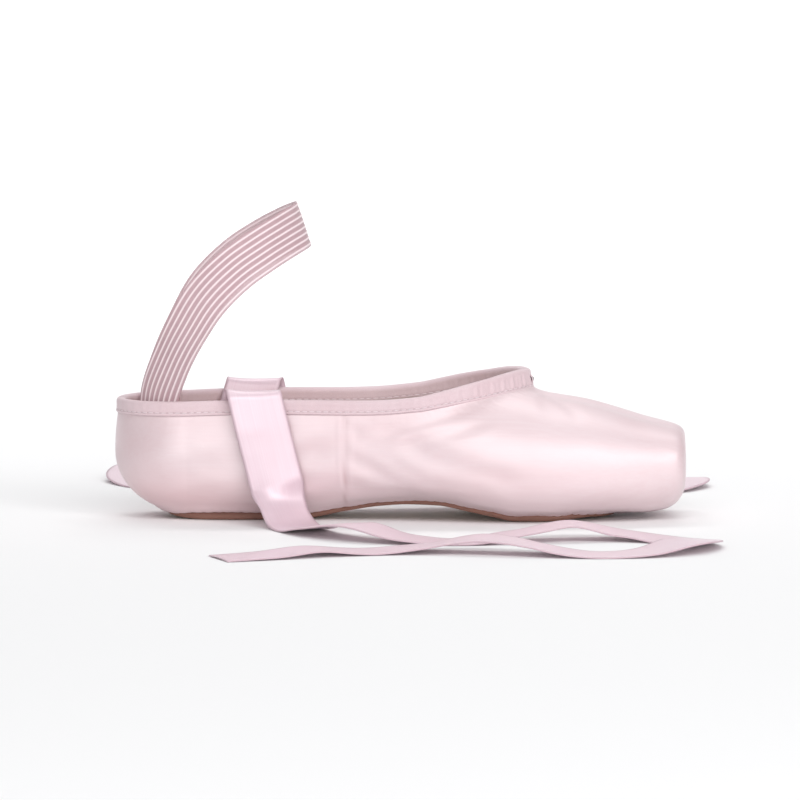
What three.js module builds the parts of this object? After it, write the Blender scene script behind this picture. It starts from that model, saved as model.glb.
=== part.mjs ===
import * as THREE from 'three';

// A satin pointe shoe standing empty on its sole. Millimetres, +X towards the toe, +Z up.
// The last is straight, so both sides mirror each other about y = 0.
// Tables measure "fromHeel", the distance along the shoe from the back of the heel.

// Driving dimensions
const LENGTH = 235;
const HEEL_CENTRE = 30;        // fromHeel of the centre of the round heel
const TOE_START = 222;         // fromHeel where the sections close towards the platform
const PLATFORM_SQUARENESS = 8; // exponent of the flat platform's edge
const PLATFORM_WALL = 4;
const TOE_SPINE_END = 195;     // fromHeel of the last pivot inside the toe
const TOE_SPINE_HEIGHT = 24;
const GAP = 0.35;              // between pieces that meet
const SOLE_GAP = 0.5;          // under the upper, whose facets are coarse there

const BAND_HEIGHT = 6;         // collar binding at heel and sides
const THROAT_BAND_HEIGHT = 8.6;
const BAND_WALL = 1.6;         // upper's wall inside the binding
const BAND_LEAN = 0.12;
const THROAT_BAND_LEAN = 0.26;
const BINDING_TAPE = 0.8;
const BINDING_BEVEL = 0.5;

const SOLE_THICKNESS = 1.6;
const SOLE_END_THICKNESS = 1.0;
const SOLE_BEVEL = 0.9;
const SOLE_BACK = 21;
const SOLE_TIP = 206;
const SOLE_BACK_TAPER = 14;    // length over which the leather is pared down
const SOLE_TIP_TAPER = 26;
const LASTING_MARGIN = 5;      // overlap of the upper under the foot

const INSOLE_THICKNESS = 1.6;
const INSOLE_BACK = 12;
const INSOLE_TIP = 205;
const INSOLE_BACK_ROUND = 20;  // length of the round end
const INSOLE_TIP_ROUND = 26;
const INSOLE_SHARE = 0.74;     // of the last's half width

const PLATE_COLUMNS = 9;       // across an outsole or insole
const PLATE_LEAST_HALF = 0.8;  // at a round end
const PLATE_LEAST_FOOT = 0.5;

const ELASTIC_WIDTH = 19;
const ELASTIC_THICKNESS = 1.2;
const ELASTIC_CURL = 1.7;      // inside the round heel
const ELASTIC_TURN = 30;       // height over which the strap turns from one form to the next
const ELASTIC_LEAVES_HEEL = 50;
const ELASTIC_REACHES_FRONT = 90;
const ELASTIC_STEPS = 44;
const ELASTIC_CORNERS = [-1, -0.5, 0, 0.5, 1];
const ANKLE_CENTRE = 44;       // fromHeel
const ANKLE_FRONT_SLOPE = 0.34;
const RIBBON_WIDTH = 22;
const RIBBON_THICKNESS = 0.8;
const RIBBON_FLAT_BELOW = 6;   // height of the middle line
const RIBBON_HANGS_ABOVE = 18;
const RIBBON_STEPS = 80;
const RIBBON_CORNERS = [-1, 1];

// Guide lines of half the upper, fanned round the heel and round the toe, with even ones between.
const HEEL_STEPS = 7;
const SIDE_STEPS = 8;
const TOE_STEPS = 21;
const TOE_LINES_START = 118;   // fromHeel
const UNDER_HEEL_CENTRE = 40;  // fromHeel of the centre of the opening's round end under the heel
const UNDER_HEEL_RADIUS = 13.5;
const PLATFORM_SPREAD = 2.2;   // how early the lines on the outline turn round the platform's corner
const TIP_SPREAD = 3;          // how early the lines under the foot turn round the sole's tip
const LOOP_BEND_LENGTH = 8;    // length that a bend of one radian counts for, along the loop
const PROFILE_BEND_LENGTH = 10;
const FINE_SAMPLES = 120;
const PROFILE_SAMPLES = 70;
const OUTER_ROWS = 21;
const INNER_ROWS = 17;

// A table's rows, each with its values by column name.
const table = (names, rows) => rows.map(
  (row) => Object.fromEntries(names.map((name, i) => [name, row[i]])),
);

// Sections of the last. halfWidth is at the height "widest"; crown is the height the section would reach
// over the foot; under is the underside at the middle; squareness is the exponent above and below widest.
const LAST_SECTIONS = table(
  ['fromHeel', 'halfWidth', 'widest', 'crown', 'under', 'topSquareness', 'underSquareness', 'wall'],
  [
    [30, 27.6, 27.5, 84, 2.3, 2.0, 3.0, 1.6],
    [38, 28.4, 26.5, 86, 2.1, 2.0, 3.0, 1.6],
    [75, 30.6, 24.0, 92, 2.1, 2.0, 2.8, 1.6],
    [95, 32.4, 23.0, 88.5, 5.3, 2.0, 2.6, 1.6],
    [109, 34.4, 22.4, 82, 7.4, 2.05, 2.6, 1.6],
    [121, 36.7, 22.0, 74.2, 8.2, 2.1, 2.6, 1.6],
    [133, 39.2, 21.5, 65.6, 8.0, 2.1, 2.7, 1.7],
    [145, 41.4, 21.0, 59.2, 5.9, 2.1, 2.8, 1.8],
    [155, 42.5, 20.5, 55.9, 4.0, 2.1, 2.9, 2.0],
    [165, 43.0, 20.0, 54.3, 2.1, 2.1, 3.0, 2.1],
    [172, 42.9, 19.7, 52.9, 2.1, 2.15, 3.0, 2.3],
    [178, 42.3, 19.5, 50.9, 2.1, 2.2, 3.0, 2.4],
    [195, 39.0, 19.0, 47.8, 2.9, 2.3, 2.8, 2.6],
    [206, 35.9, 19.0, 44.8, 2.8, 2.4, 2.6, 2.6],
    [218, 32.0, 20.0, 41.1, 2.3, 2.5, 2.5, 2.6],
    [226, 29.2, 21.0, 39.0, 3.4, 2.6, 2.4, 2.6],
    [231, 27.6, 22.0, 37.8, 5.6, 2.6, 2.4, 2.6],
    [235, 26.4, 23.0, 36.9, 9.5, 2.6, 2.4, 2.6],
  ],
);

// Lower line of the collar binding, from the side of the heel to the throat.
const COLLAR_STATIONS = table(['fromHeel', 'half', 'height'], [
  [30, 26.6, 44.0],
  [75, 29.4, 45.0],
  [100, 31.4, 45.0],
  [115, 32.6, 45.4],
  [125, 32.8, 46.1],
  [135, 31.3, 47.5],
  [145, 27.9, 49.2],
  [155, 22.3, 51.0],
  [162, 16.8, 52.3],
  [167, 11.2, 52.9],
  [170, 6.4, 53.0],
  [171.6, 2.6, 53.0],
  [172, 0, 53.0],
]);
const COLLAR_HEEL_HEIGHT = 43.6;
const COLLAR_HEEL_REACH = 0.97;  // of the round heel's radius
const COLLAR_MIDDLE = 80;        // fromHeel

// Half outline of the outsole between its two round ends.
const SOLE_STATIONS = table(['fromHeel', 'half'], [
  [21, 0],
  [23, 6.6],
  [28, 12.4],
  [38, 16.2],
  [50, 17.0],
  [75, 14.8],
  [98, 12.8],
  [120, 14.6],
  [143, 20.6],
  [160, 24.6],
  [172, 25.2],
  [185, 22.6],
  [195, 17.6],
  [202, 11.2],
  [205, 5.6],
  [206, 0],
]);

const SATIN = new THREE.MeshStandardMaterial({ color: 0xf0e1e8, roughness: 0.42, metalness: 0 });
const TAPE = new THREE.MeshStandardMaterial({ color: 0xe4cfd4, roughness: 0.6, metalness: 0 });
const LEATHER = new THREE.MeshStandardMaterial({ color: 0xb89a86, roughness: 0.7, metalness: 0 });
const CANVAS = new THREE.MeshStandardMaterial({ color: 0xe9ddd2, roughness: 0.85, metalness: 0 });
const ELASTIC = new THREE.MeshStandardMaterial({ color: 0xd7bfc5, roughness: 0.75, metalness: 0 });
const RIBBON = new THREE.MeshStandardMaterial({ color: 0xf2ccd9, roughness: 0.35, metalness: 0 });

const clamp = (value, low, high) => Math.min(high, Math.max(low, value));
const mix = (a, b, share) => a + (b - a) * share;
const smooth = (share) => share * share * (3 - 2 * share);
const vec = (x, y, z) => new THREE.Vector3(x, y, z);

// A smooth function through one column of a table that never overshoots its rows.
function column(rows, name) {
  const at = rows.map((row) => row.fromHeel);
  const value = rows.map((row) => row[name]);
  const slope = at.slice(1).map((x, i) => (value[i + 1] - value[i]) / (x - at[i]));
  const tangent = at.map((_, i) => {
    const before = slope[Math.max(0, i - 1)];
    const after = slope[Math.min(slope.length - 1, i)];
    return before * after <= 0 ? 0 : (2 * before * after) / (before + after);
  });
  return (x) => {
    const place = clamp(x, at[0], at[at.length - 1]);
    let i = 0;
    while (i < at.length - 2 && place > at[i + 1]) i += 1;
    const span = at[i + 1] - at[i];
    const t = (place - at[i]) / span;
    const rest = 1 - t;
    return rest * rest * ((1 + 2 * t) * value[i] + t * span * tangent[i])
      + t * t * ((3 - 2 * t) * value[i + 1] - rest * span * tangent[i + 1]);
  };
}

const last = Object.fromEntries(
  ['halfWidth', 'widest', 'crown', 'under', 'topSquareness', 'underSquareness', 'wall']
    .map((name) => [name, column(LAST_SECTIONS, name)]),
);
const collarHalf = column(COLLAR_STATIONS, 'half');
const collarHeight = column(COLLAR_STATIONS, 'height');
const soleHalf = column(SOLE_STATIONS, 'half');

// 1 on the last's surface and less inside it. "depth" is 0 for the wall's outer face and 1 for its inner face.
function lastNorm(point, depth) {
  const { x, y, z } = point;
  const wall = depth * last.wall(x);
  const heel = Math.max(0, HEEL_CENTRE - x) / (HEEL_CENTRE - wall);
  const toe = Math.max(0, x - TOE_START) / (LENGTH - TOE_START - depth * PLATFORM_WALL);
  const widest = last.widest(x);
  const above = z > widest;
  const reach = above ? last.crown(x) - wall - widest : widest - last.under(x) - wall;
  const rise = Math.abs(z - widest) / reach;
  const squareness = above ? last.topSquareness(x) : last.underSquareness(x);
  const across = Math.abs(y) / (last.halfWidth(x) - wall);
  const section = (across ** squareness + rise ** squareness) ** (1 / squareness);
  const closed = Math.hypot(section, heel);
  return (closed ** PLATFORM_SQUARENESS + toe ** PLATFORM_SQUARENESS) ** (1 / PLATFORM_SQUARENESS);
}

// The surface point of the last seen from a pivot on its spine, in the direction of a guide point.
function cast(pivot, guide, depth) {
  const direction = guide.clone().sub(pivot).normalize();
  let near = 0;
  let far = 130;
  for (let step = 0; step < 32; step += 1) {
    const middle = (near + far) / 2;
    if (lastNorm(pivot.clone().addScaledVector(direction, middle), depth) < 1) near = middle;
    else far = middle;
  }
  return pivot.clone().addScaledVector(direction, near);
}

function lastNormal(point) {
  const step = 0.05;
  const slope = (axis) => {
    const ahead = point.clone();
    const behind = point.clone();
    ahead[axis] += step;
    behind[axis] -= step;
    return lastNorm(ahead, 0) - lastNorm(behind, 0);
  };
  return vec(slope('x'), slope('y'), slope('z')).normalize();
}

// Underside of the upper's wall: the outer face at depth 0, the inner face at depth 1.
function underside(x, y, depth) {
  const wall = depth * last.wall(x);
  const heel = Math.max(0, HEEL_CENTRE - x) / (HEEL_CENTRE - wall);
  const squareness = last.underSquareness(x);
  const room = (1 - heel * heel) ** (squareness / 2);
  const side = (Math.abs(y) / (last.halfWidth(x) - wall)) ** squareness;
  const drop = last.widest(x) - last.under(x) - wall;
  return last.widest(x) - drop * Math.max(0, room - side) ** (1 / squareness);
}

// Places a share of the way along a polyline, where bends count as extra length.
function spread(points, count, bendLength) {
  const reach = [0];
  for (let i = 1; i < points.length; i += 1) {
    let step = points[i].distanceTo(points[i - 1]);
    if (i > 1) {
      const before = points[i - 1].clone().sub(points[i - 2]);
      step += bendLength * before.angleTo(points[i].clone().sub(points[i - 1]));
    }
    reach.push(reach[i - 1] + step);
  }
  const total = reach[reach.length - 1];
  return Array.from({ length: count }, (_, k) => {
    const target = (total * k) / (count - 1);
    let i = 1;
    while (i < reach.length - 1 && reach[i] < target) i += 1;
    const share = (target - reach[i - 1]) / (reach[i] - reach[i - 1]);
    return (i - 1 + share) / (points.length - 1);
  });
}

const samples = (count, at) => Array.from({ length: count }, (_, i) => at(i / (count - 1)));

// Each guide line of the half loop runs from the collar over the widest outline to the underside's edge.
function guideLines() {
  return [...heelLines(), ...sideLines(), ...toeLines()];
}

const openingHalf = (x) => Math.max(0, soleHalf(x) - LASTING_MARGIN);
const openingEdge = (x, y) => vec(x, y, underside(x, y, 0));

function heelLines() {
  const height = last.widest(HEEL_CENTRE);
  return Array.from({ length: HEEL_STEPS }, (_, i) => {
    const angle = (i / HEEL_STEPS) * (Math.PI / 2);
    const back = Math.cos(angle);
    const side = Math.sin(angle);
    const collarBack = HEEL_CENTRE * (1 - COLLAR_HEEL_REACH * back);
    const collarTop = mix(collarHeight(HEEL_CENTRE), COLLAR_HEEL_HEIGHT, back);
    const underBack = UNDER_HEEL_CENTRE - UNDER_HEEL_RADIUS * back;
    return {
      pivot: vec(HEEL_CENTRE, 0, height),
      collar: vec(collarBack, collarHalf(HEEL_CENTRE) * side, collarTop),
      outline: vec(HEEL_CENTRE * (1 - back), last.halfWidth(HEEL_CENTRE) * side, height),
      under: openingEdge(underBack, openingHalf(UNDER_HEEL_CENTRE) * side),
    };
  });
}

function sideLines() {
  return Array.from({ length: SIDE_STEPS }, (_, i) => {
    const x = mix(HEEL_CENTRE, TOE_LINES_START, i / SIDE_STEPS);
    const underX = mix(UNDER_HEEL_CENTRE, TOE_LINES_START, i / SIDE_STEPS);
    return {
      pivot: vec(x, 0, last.widest(x)),
      collar: vec(x, collarHalf(x), collarHeight(x)),
      outline: vec(x, last.halfWidth(x), last.widest(x)),
      under: openingEdge(underX, openingHalf(underX)),
    };
  });
}

// These lines run from the throat over the vamp and the wings, and crowd towards the middle of the toe.
function toeLines() {
  const towards = (end) => (t) => end - (end - TOE_LINES_START) * (1 - t) ** 2;
  const throatX = towards(COLLAR_STATIONS[COLLAR_STATIONS.length - 1].fromHeel);
  const outlineX = towards(LENGTH);
  const underX = towards(SOLE_TIP - LASTING_MARGIN);
  const tip = vec(TOE_SPINE_END, 0, TOE_SPINE_HEIGHT);
  const collarAt = (t) => vec(throatX(t), collarHalf(throatX(t)), collarHeight(throatX(t)));
  const outlineAt = (t) => {
    const x = outlineX(t);
    const y = last.halfWidth(x) * Math.min(1, PLATFORM_SPREAD * (1 - t));
    return cast(tip, vec(x, y, last.widest(x)), 0);
  };
  const underAt = (t) => openingEdge(underX(t), openingHalf(underX(t)) * Math.min(1, TIP_SPREAD * (1 - t)));
  const [collarPlaces, outlinePlaces, underPlaces] = [collarAt, outlineAt, underAt]
    .map((at) => spread(samples(FINE_SAMPLES, at), TOE_STEPS, LOOP_BEND_LENGTH));
  return Array.from({ length: TOE_STEPS }, (_, i) => {
    const share = i / (TOE_STEPS - 1);
    const pivotX = mix(TOE_LINES_START, TOE_SPINE_END, share ** 0.8);
    return {
      pivot: vec(pivotX, 0, mix(last.widest(TOE_LINES_START), TOE_SPINE_HEIGHT, share)),
      collar: collarAt(collarPlaces[i]),
      outline: outlineAt(outlinePlaces[i]),
      under: underAt(underPlaces[i]),
    };
  });
}

// Points down one guide line on one face of the wall, from a start point to the underside's edge.
function profile(line, start, depth, rows) {
  const { pivot, outline, under } = line;
  const bend = outline.clone().multiplyScalar(2).sub(start.clone().add(under).multiplyScalar(0.5));
  const at = (t) => {
    const guide = start.clone().multiplyScalar((1 - t) ** 2)
      .addScaledVector(bend, 2 * t * (1 - t)).addScaledVector(under, t * t);
    return cast(pivot, guide, depth);
  };
  return spread(samples(PROFILE_SAMPLES, at), rows, PROFILE_BEND_LENGTH).map(at);
}

// A full loop from its half, mirrored about y = 0. The first and last places lie on the middle.
function mirrored(half, mirror) {
  return [...half, ...half.slice(1, -1).reverse().map(mirror)];
}
const mirrorPoint = (point) => vec(point.x, -point.y, point.z);

// Closed surface through rings of equal length. Rings close on themselves, and so does the row of rings
// where "around" is true; otherwise the first and last rings are capped.
function ringSolid(rings, around) {
  const size = rings[0].length;
  const positions = rings.flat().flatMap((p) => [p.x - LENGTH / 2, p.y, p.z]);
  const faces = [];
  const quad = (a, b, c, d) => faces.push(a, b, c, a, c, d);
  const bands = around ? rings.length : rings.length - 1;
  for (let i = 0; i < bands; i += 1) {
    const here = i * size;
    const next = ((i + 1) % rings.length) * size;
    for (let j = 0; j < size; j += 1) {
      const k = (j + 1) % size;
      quad(here + j, next + j, next + k, here + k);
    }
  }
  if (!around) {
    const tail = (rings.length - 1) * size;
    for (let j = 1; j < size - 1; j += 1) {
      faces.push(0, j, j + 1);
      faces.push(tail, tail + j + 1, tail + j);
    }
  }
  const geometry = new THREE.BufferGeometry();
  geometry.setAttribute('position', new THREE.Float32BufferAttribute(positions, 3));
  geometry.setIndex(outwards(positions, faces));
  geometry.computeVertexNormals();
  return geometry;
}

// The same triangles, turned over if they enclose a negative volume.
function outwards(positions, faces) {
  const corner = (i) => vec(positions[3 * i], positions[3 * i + 1], positions[3 * i + 2]);
  let volume = 0;
  for (let i = 0; i < faces.length; i += 3) {
    volume += corner(faces[i]).dot(corner(faces[i + 1]).cross(corner(faces[i + 2])));
  }
  return volume > 0 ? faces : faces.slice().reverse();
}

// The collar's frames: lower line of the binding, the way up along the band, and the band's outward normal.
function collarFrames(lines) {
  const half = lines.map((line) => cast(line.pivot, line.collar, 0));
  const loop = mirrored(half, mirrorPoint);
  const throat = half[half.length - 1].x;
  return loop.map((point, i) => {
    const before = loop[(i + loop.length - 1) % loop.length];
    const after = loop[(i + 1) % loop.length];
    const along = after.clone().sub(before).normalize();
    const inward = vec(0, 0, 1).cross(along).normalize();
    if (inward.dot(vec(COLLAR_MIDDLE, 0, 0).sub(point)) < 0) inward.negate();
    const toThroat = smooth(clamp((point.x - TOE_LINES_START) / (throat - TOE_LINES_START), 0, 1));
    const lean = mix(BAND_LEAN, THROAT_BAND_LEAN, toThroat);
    const up = vec(0, 0, 1).addScaledVector(inward, lean).normalize();
    const outward = along.clone().cross(up).normalize();
    if (outward.dot(inward) > 0) outward.negate();
    return { point, up, outward, height: mix(BAND_HEIGHT, THROAT_BAND_HEIGHT, toThroat) };
  });
}

const onBand = (frame, out, height) => frame.point.clone()
  .addScaledVector(frame.outward, out).addScaledVector(frame.up, height);

function upperGeometry(lines, frames) {
  const halfRings = lines.map((line, i) => {
    const frame = frames[i];
    const { point, outward } = frame;
    const normal = lastNormal(point);
    const mitre = normal.clone().add(outward).multiplyScalar(BAND_WALL / (1 + normal.dot(outward)));
    const innerStart = point.clone().sub(mitre);
    const top = frame.height - BINDING_TAPE - GAP;
    const outer = profile(line, point, 0, OUTER_ROWS);
    const inner = profile(line, innerStart, 1, INNER_ROWS);
    return [
      onBand(frame, 0, top),
      onBand(frame, 0, top / 2),
      ...outer,
      ...inner.reverse().slice(0, -1),
      innerStart,
      onBand(frame, -BAND_WALL, top / 2),
      onBand(frame, -BAND_WALL, top),
    ];
  });
  return ringSolid(mirrored(halfRings, (ring) => ring.map(mirrorPoint)), true);
}

// The collar tape folds over the upper's edge, with a leg outside and a leg inside.
function bindingGeometry(frames) {
  const inside = -BAND_WALL;
  const rings = frames.map((frame) => {
    const top = frame.height;
    const foot = 0.6;
    return [
      [GAP, foot], [GAP + BINDING_TAPE, foot], [GAP + BINDING_TAPE, top - BINDING_BEVEL],
      [GAP + BINDING_TAPE - BINDING_BEVEL, top], [inside - GAP - BINDING_TAPE + BINDING_BEVEL, top],
      [inside - GAP - BINDING_TAPE, top - BINDING_BEVEL], [inside - GAP - BINDING_TAPE, foot],
      [inside - GAP, foot], [inside - GAP, top - BINDING_TAPE], [GAP, top - BINDING_TAPE],
    ].map(([out, height]) => onBand(frame, out, height));
  });
  return ringSolid(rings, true);
}

// A plate across the shoe: each section runs over the top from one edge to the other and back underneath.
function plateGeometry(stations, halfAt, topAt, bottomAt, bevel) {
  const shares = samples(PLATE_COLUMNS, (share) => -Math.cos(Math.PI * share));
  const rings = stations.map((x) => {
    const half = Math.max(PLATE_LEAST_HALF, halfAt(x));
    const top = shares.map((share) => vec(x, half * share, topAt(x, half * share)));
    const foot = Math.max(PLATE_LEAST_FOOT, half - bevel);
    const bottom = shares.map((share) => vec(x, foot * share, bottomAt(x, foot * share)));
    return [...top, ...bottom.reverse()];
  });
  return ringSolid(rings, false);
}

function soleThickness(x) {
  const fromEnd = Math.min((x - SOLE_BACK) / SOLE_BACK_TAPER, (SOLE_TIP - x) / SOLE_TIP_TAPER);
  return mix(SOLE_END_THICKNESS, SOLE_THICKNESS, smooth(clamp(fromEnd, 0, 1)));
}

function outsoleGeometry() {
  const stations = [
    21.3, 22.2, 24, 27, 31, 37, 46, 56, 66, 75, 82, 89, 96, 104, 112, 120, 128, 136, 144, 152, 159,
    165, 172, 178, 184, 190, 195, 199, 202, 204.2, 205.4, 205.9,
  ];
  const top = (x, y) => underside(x, y, 0) - SOLE_GAP;
  const bottom = (x) => Math.max(0, underside(x, 0, 0) - SOLE_GAP - soleThickness(x));
  return plateGeometry(stations, soleHalf, top, bottom, SOLE_BEVEL);
}

function insoleGeometry() {
  const stations = [
    12.4, 14, 17, 21, 26, 32, 40, 50, 62, 75, 86, 97, 108, 120, 133, 145, 155, 165, 175, 184, 192,
    198, 202, 204.2,
  ];
  const round = (share) => Math.sqrt(clamp(1 - (1 - share) ** 2, 0, 1));
  const half = (x) => {
    const back = round(clamp((x - INSOLE_BACK) / INSOLE_BACK_ROUND, 0, 1));
    const tip = round(clamp((INSOLE_TIP - x) / INSOLE_TIP_ROUND, 0, 1));
    return INSOLE_SHARE * last.halfWidth(x) * Math.min(back, tip);
  };
  const bottom = (x, y) => underside(x, y, 1) + SOLE_GAP;
  const top = (x, y) => bottom(x, y) + INSOLE_THICKNESS;
  return plateGeometry(stations, half, top, bottom, 0);
}

// A strip along a smooth curve, with corners at the given shares of its half width. "frameAt" gives the way
// across its width at a place on the curve, and how far its edges curl back from a flat strip.
function stripGeometry(points, width, thickness, steps, shares, frameAt) {
  const curve = new THREE.CatmullRomCurve3(points);
  const rings = [];
  for (let i = 0; i <= steps; i += 1) {
    const point = curve.getPoint(i / steps);
    const along = curve.getTangent(i / steps);
    const { across, curl } = frameAt(point, along);
    across.addScaledVector(along, -across.dot(along)).normalize();
    const face = across.clone().cross(along).normalize();
    const corner = (side, lift) => point.clone().addScaledVector(across, (side * width) / 2)
      .addScaledVector(face, lift * (thickness / 2) - curl * side * side);
    const back = shares.map((side) => corner(side, -1));
    const front = shares.map((side) => corner(side, 1));
    rings.push([...back, ...front.reverse()]);
  }
  return ringSolid(rings, false);
}

const ROUTE_COLUMNS = ['fromHeel', 'out', 'height'];

// The ankle elastic's middle line from inside the collar to the front of the ankle.
const ELASTIC_ROUTE = table(ROUTE_COLUMNS, [
  [16.8, 17.2, 38],
  [17.1, 17.4, 45],
  [18.0, 18.1, 52],
  [22.5, 22.2, 64],
  [29.5, 26.4, 78],
  [38.5, 28.6, 92.5],
  [50, 28.4, 104],
  [61.5, 24.4, 112],
  [71.5, 16.4, 117.8],
  [77, 7.0, 120.6],
]);

function elasticGeometry() {
  const side = (sign) => ELASTIC_ROUTE.map((row) => vec(row.fromHeel, sign * row.out, row.height));
  const points = [...side(-1), ...side(1).reverse()];
  const frameAt = (point, along) => {
    const risen = smooth(clamp((point.z - ELASTIC_LEAVES_HEEL) / ELASTIC_TURN, 0, 1));
    const front = smooth(clamp((point.z - ELASTIC_REACHES_FRONT) / ELASTIC_TURN, 0, 1));
    const face = vec(point.x - mix(HEEL_CENTRE, ANKLE_CENTRE, risen), point.y, 0).normalize();
    face.z = ANKLE_FRONT_SLOPE * front;
    return { across: along.clone().cross(face), curl: ELASTIC_CURL * (1 - risen) };
  };
  return stripGeometry(points, ELASTIC_WIDTH, ELASTIC_THICKNESS, ELASTIC_STEPS, ELASTIC_CORNERS, frameAt);
}

// A ribbon's middle line: out of the collar, down the side of the shoe, then loosely along the floor.
const RIBBON_ROUTES = {
  ribbon_near: {
    side: -1,
    rows: table(ROUTE_COLUMNS, [
      [51.5, 23.2, 36], [53.5, 23.2, 43], [55.4, 23.3, 49.4], [56.4, 24.4, 52.8], [57.2, 27.2, 54.2],
      [58.0, 30.6, 52.8], [59.0, 32.0, 48.6], [60.6, 33.2, 42], [63.4, 33.6, 31], [66.2, 34.4, 20],
      [69.0, 37.0, 10], [72.6, 43.5, 3.2], [77, 54, 1.0], [86, 72, 3.6], [101, 88, 6.4], [121, 97, 2.2],
      [143, 99, 0.9], [165, 94, 3.8], [186, 88, 6.8], [207, 87, 3.0], [225, 94, 1.0], [235, 110, 2.4],
      [231, 129, 4.6], [215, 141, 1.8], [194, 144, 0.9], [172, 140, 3.6], [150, 134, 6.6],
      [128, 131, 3.0], [106, 133, 1.0], [84, 140, 2.6], [64, 149, 1.4], [46, 156, 0.8],
    ]),
  },
  ribbon_far: {
    side: 1,
    rows: table(ROUTE_COLUMNS, [
      [51.5, 23.2, 36], [53.5, 23.2, 43], [55.4, 23.3, 49.4], [56.4, 24.4, 52.8], [57.2, 27.2, 54.2],
      [58.0, 30.6, 52.8], [59.0, 32.0, 48.6], [60.0, 33.2, 42], [61.4, 33.6, 31], [62.4, 34.4, 20],
      [63.0, 37.0, 10], [63.0, 44.0, 3.2], [61, 55, 1.0], [53, 72, 3.4], [40, 88, 6.2], [24, 101, 2.4],
      [9, 116, 0.9], [2, 135, 3.4], [9, 154, 5.6], [27, 164, 2.0], [48, 164, 0.9], [68, 156, 3.6],
      [87, 146, 6.4], [107, 139, 2.6], [129, 138, 0.9], [151, 142, 3.4], [173, 147, 5.6],
      [195, 147, 2.0], [215, 141, 0.9], [232, 130, 1.6], [239, 113, 3.4], [231, 96, 2.0],
      [222, 90, 0.8],
    ]),
  },
};

function ribbonGeometry({ side, rows }) {
  const points = rows.map((row) => vec(row.fromHeel, side * row.out, row.height));
  const frameAt = (point, along) => {
    const above = (RIBBON_HANGS_ABOVE - point.z) / (RIBBON_HANGS_ABOVE - RIBBON_FLAT_BELOW);
    const hung = vec(1, 0, 0).addScaledVector(along, -along.x).normalize();
    const laid = vec(0, 0, -side).cross(along).normalize();
    return { across: hung.lerp(laid, smooth(clamp(above, 0, 1))), curl: 0 };
  };
  return stripGeometry(points, RIBBON_WIDTH, RIBBON_THICKNESS, RIBBON_STEPS, RIBBON_CORNERS, frameAt);
}

const lines = guideLines();
const frames = collarFrames(lines);

const pieces = [
  ['outsole', outsoleGeometry(), LEATHER],
  ['upper', upperGeometry(lines, frames), SATIN],
  ['insole', insoleGeometry(), CANVAS],
  ['binding', bindingGeometry(frames), TAPE],
  ['elastic_strap', elasticGeometry(), ELASTIC],
  ['ribbon_near', ribbonGeometry(RIBBON_ROUTES.ribbon_near), RIBBON],
  ['ribbon_far', ribbonGeometry(RIBBON_ROUTES.ribbon_far), RIBBON],
];

const shoe = new THREE.Group();
for (const [name, geometry, material] of pieces) {
  const mesh = new THREE.Mesh(geometry, material);
  mesh.name = name;
  shoe.add(mesh);
}

export default shoe;
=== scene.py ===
"""A satin pointe shoe that stands empty on its leather sole, with its two ribbons laid down beside it.

Sizes are in millimetres in the shoe's own terms: "from heel" runs from the back of the heel to the platform,
"out" is away from the middle plane and "height" is above the floor. Meshes are written in metres.
"""
from __future__ import annotations

import logging
import math
from dataclasses import dataclass, field, fields
from enum import Enum
from typing import Callable, Sequence

import bpy
import numpy as np
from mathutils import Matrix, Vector


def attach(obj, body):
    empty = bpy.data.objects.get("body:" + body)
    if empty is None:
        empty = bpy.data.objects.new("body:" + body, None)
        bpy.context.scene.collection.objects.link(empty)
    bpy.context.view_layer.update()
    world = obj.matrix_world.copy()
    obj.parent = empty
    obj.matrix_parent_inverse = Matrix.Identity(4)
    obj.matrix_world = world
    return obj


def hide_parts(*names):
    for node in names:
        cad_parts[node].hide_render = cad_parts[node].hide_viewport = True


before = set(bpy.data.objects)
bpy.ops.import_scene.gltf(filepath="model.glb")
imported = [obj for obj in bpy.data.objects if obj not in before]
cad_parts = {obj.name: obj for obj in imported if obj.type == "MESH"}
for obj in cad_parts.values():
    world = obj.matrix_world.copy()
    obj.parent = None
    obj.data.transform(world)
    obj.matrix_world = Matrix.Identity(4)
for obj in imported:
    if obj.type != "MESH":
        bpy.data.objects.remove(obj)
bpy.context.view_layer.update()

logging.basicConfig(level=logging.INFO, format="%(message)s")
log = logging.getLogger("pointe_shoe")

Array = np.ndarray
Point = tuple[float, float, float]
Colour = tuple[float, float, float]
Span = tuple[float, float, float, float]
Piece = bpy.types.Object
Socket = bpy.types.NodeSocket
Layer = tuple[Socket, float]

MM = 0.001
LENGTH = 235.0
ROOT = "root"
UP = np.array([0.0, 0.0, 1.0])
FORWARDS = np.array([1.0, 0.0, 0.0])
MIRROR = np.array([1.0, -1.0, 1.0])


class Side(Enum):
    """The side of the shoe, as the sign of Y."""

    NEAR = -1
    FAR = 1


class Seen(Enum):
    """The view in which a crease is drawn: the two axes that it is measured in."""

    FROM_SIDE = (0, 2)
    FROM_ABOVE = (0, 1)


# ---------------------------------------------------------------------------------------------- numbers


def smooth(share: Array | float) -> Array | float:
    """Eases a share from 0 to 1, and holds it between them."""
    held = np.clip(share, 0.0, 1.0)
    return held * held * (3.0 - 2.0 * held)


def ramp(value: Array | float, start: float, end: float) -> Array | float:
    """Eases from 0, where a number is at start or before it, to 1, where it is at end or past it."""
    return smooth((value - start) / (end - start))


def window(value: Array, begin: float, full: float, fade: float, end: float) -> Array:
    """Eases from 0 to 1 between the first two places, and back to 0 between the last two."""
    return ramp(value, begin, full) * (1 - ramp(value, fade, end))


def hill(value: Array, centre: float, width: float) -> Array:
    """Gives a rounded hill, which is 1 at its centre and near 0 at twice its width from there."""
    return np.exp(-(((value - centre) / width) ** 2))


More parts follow.
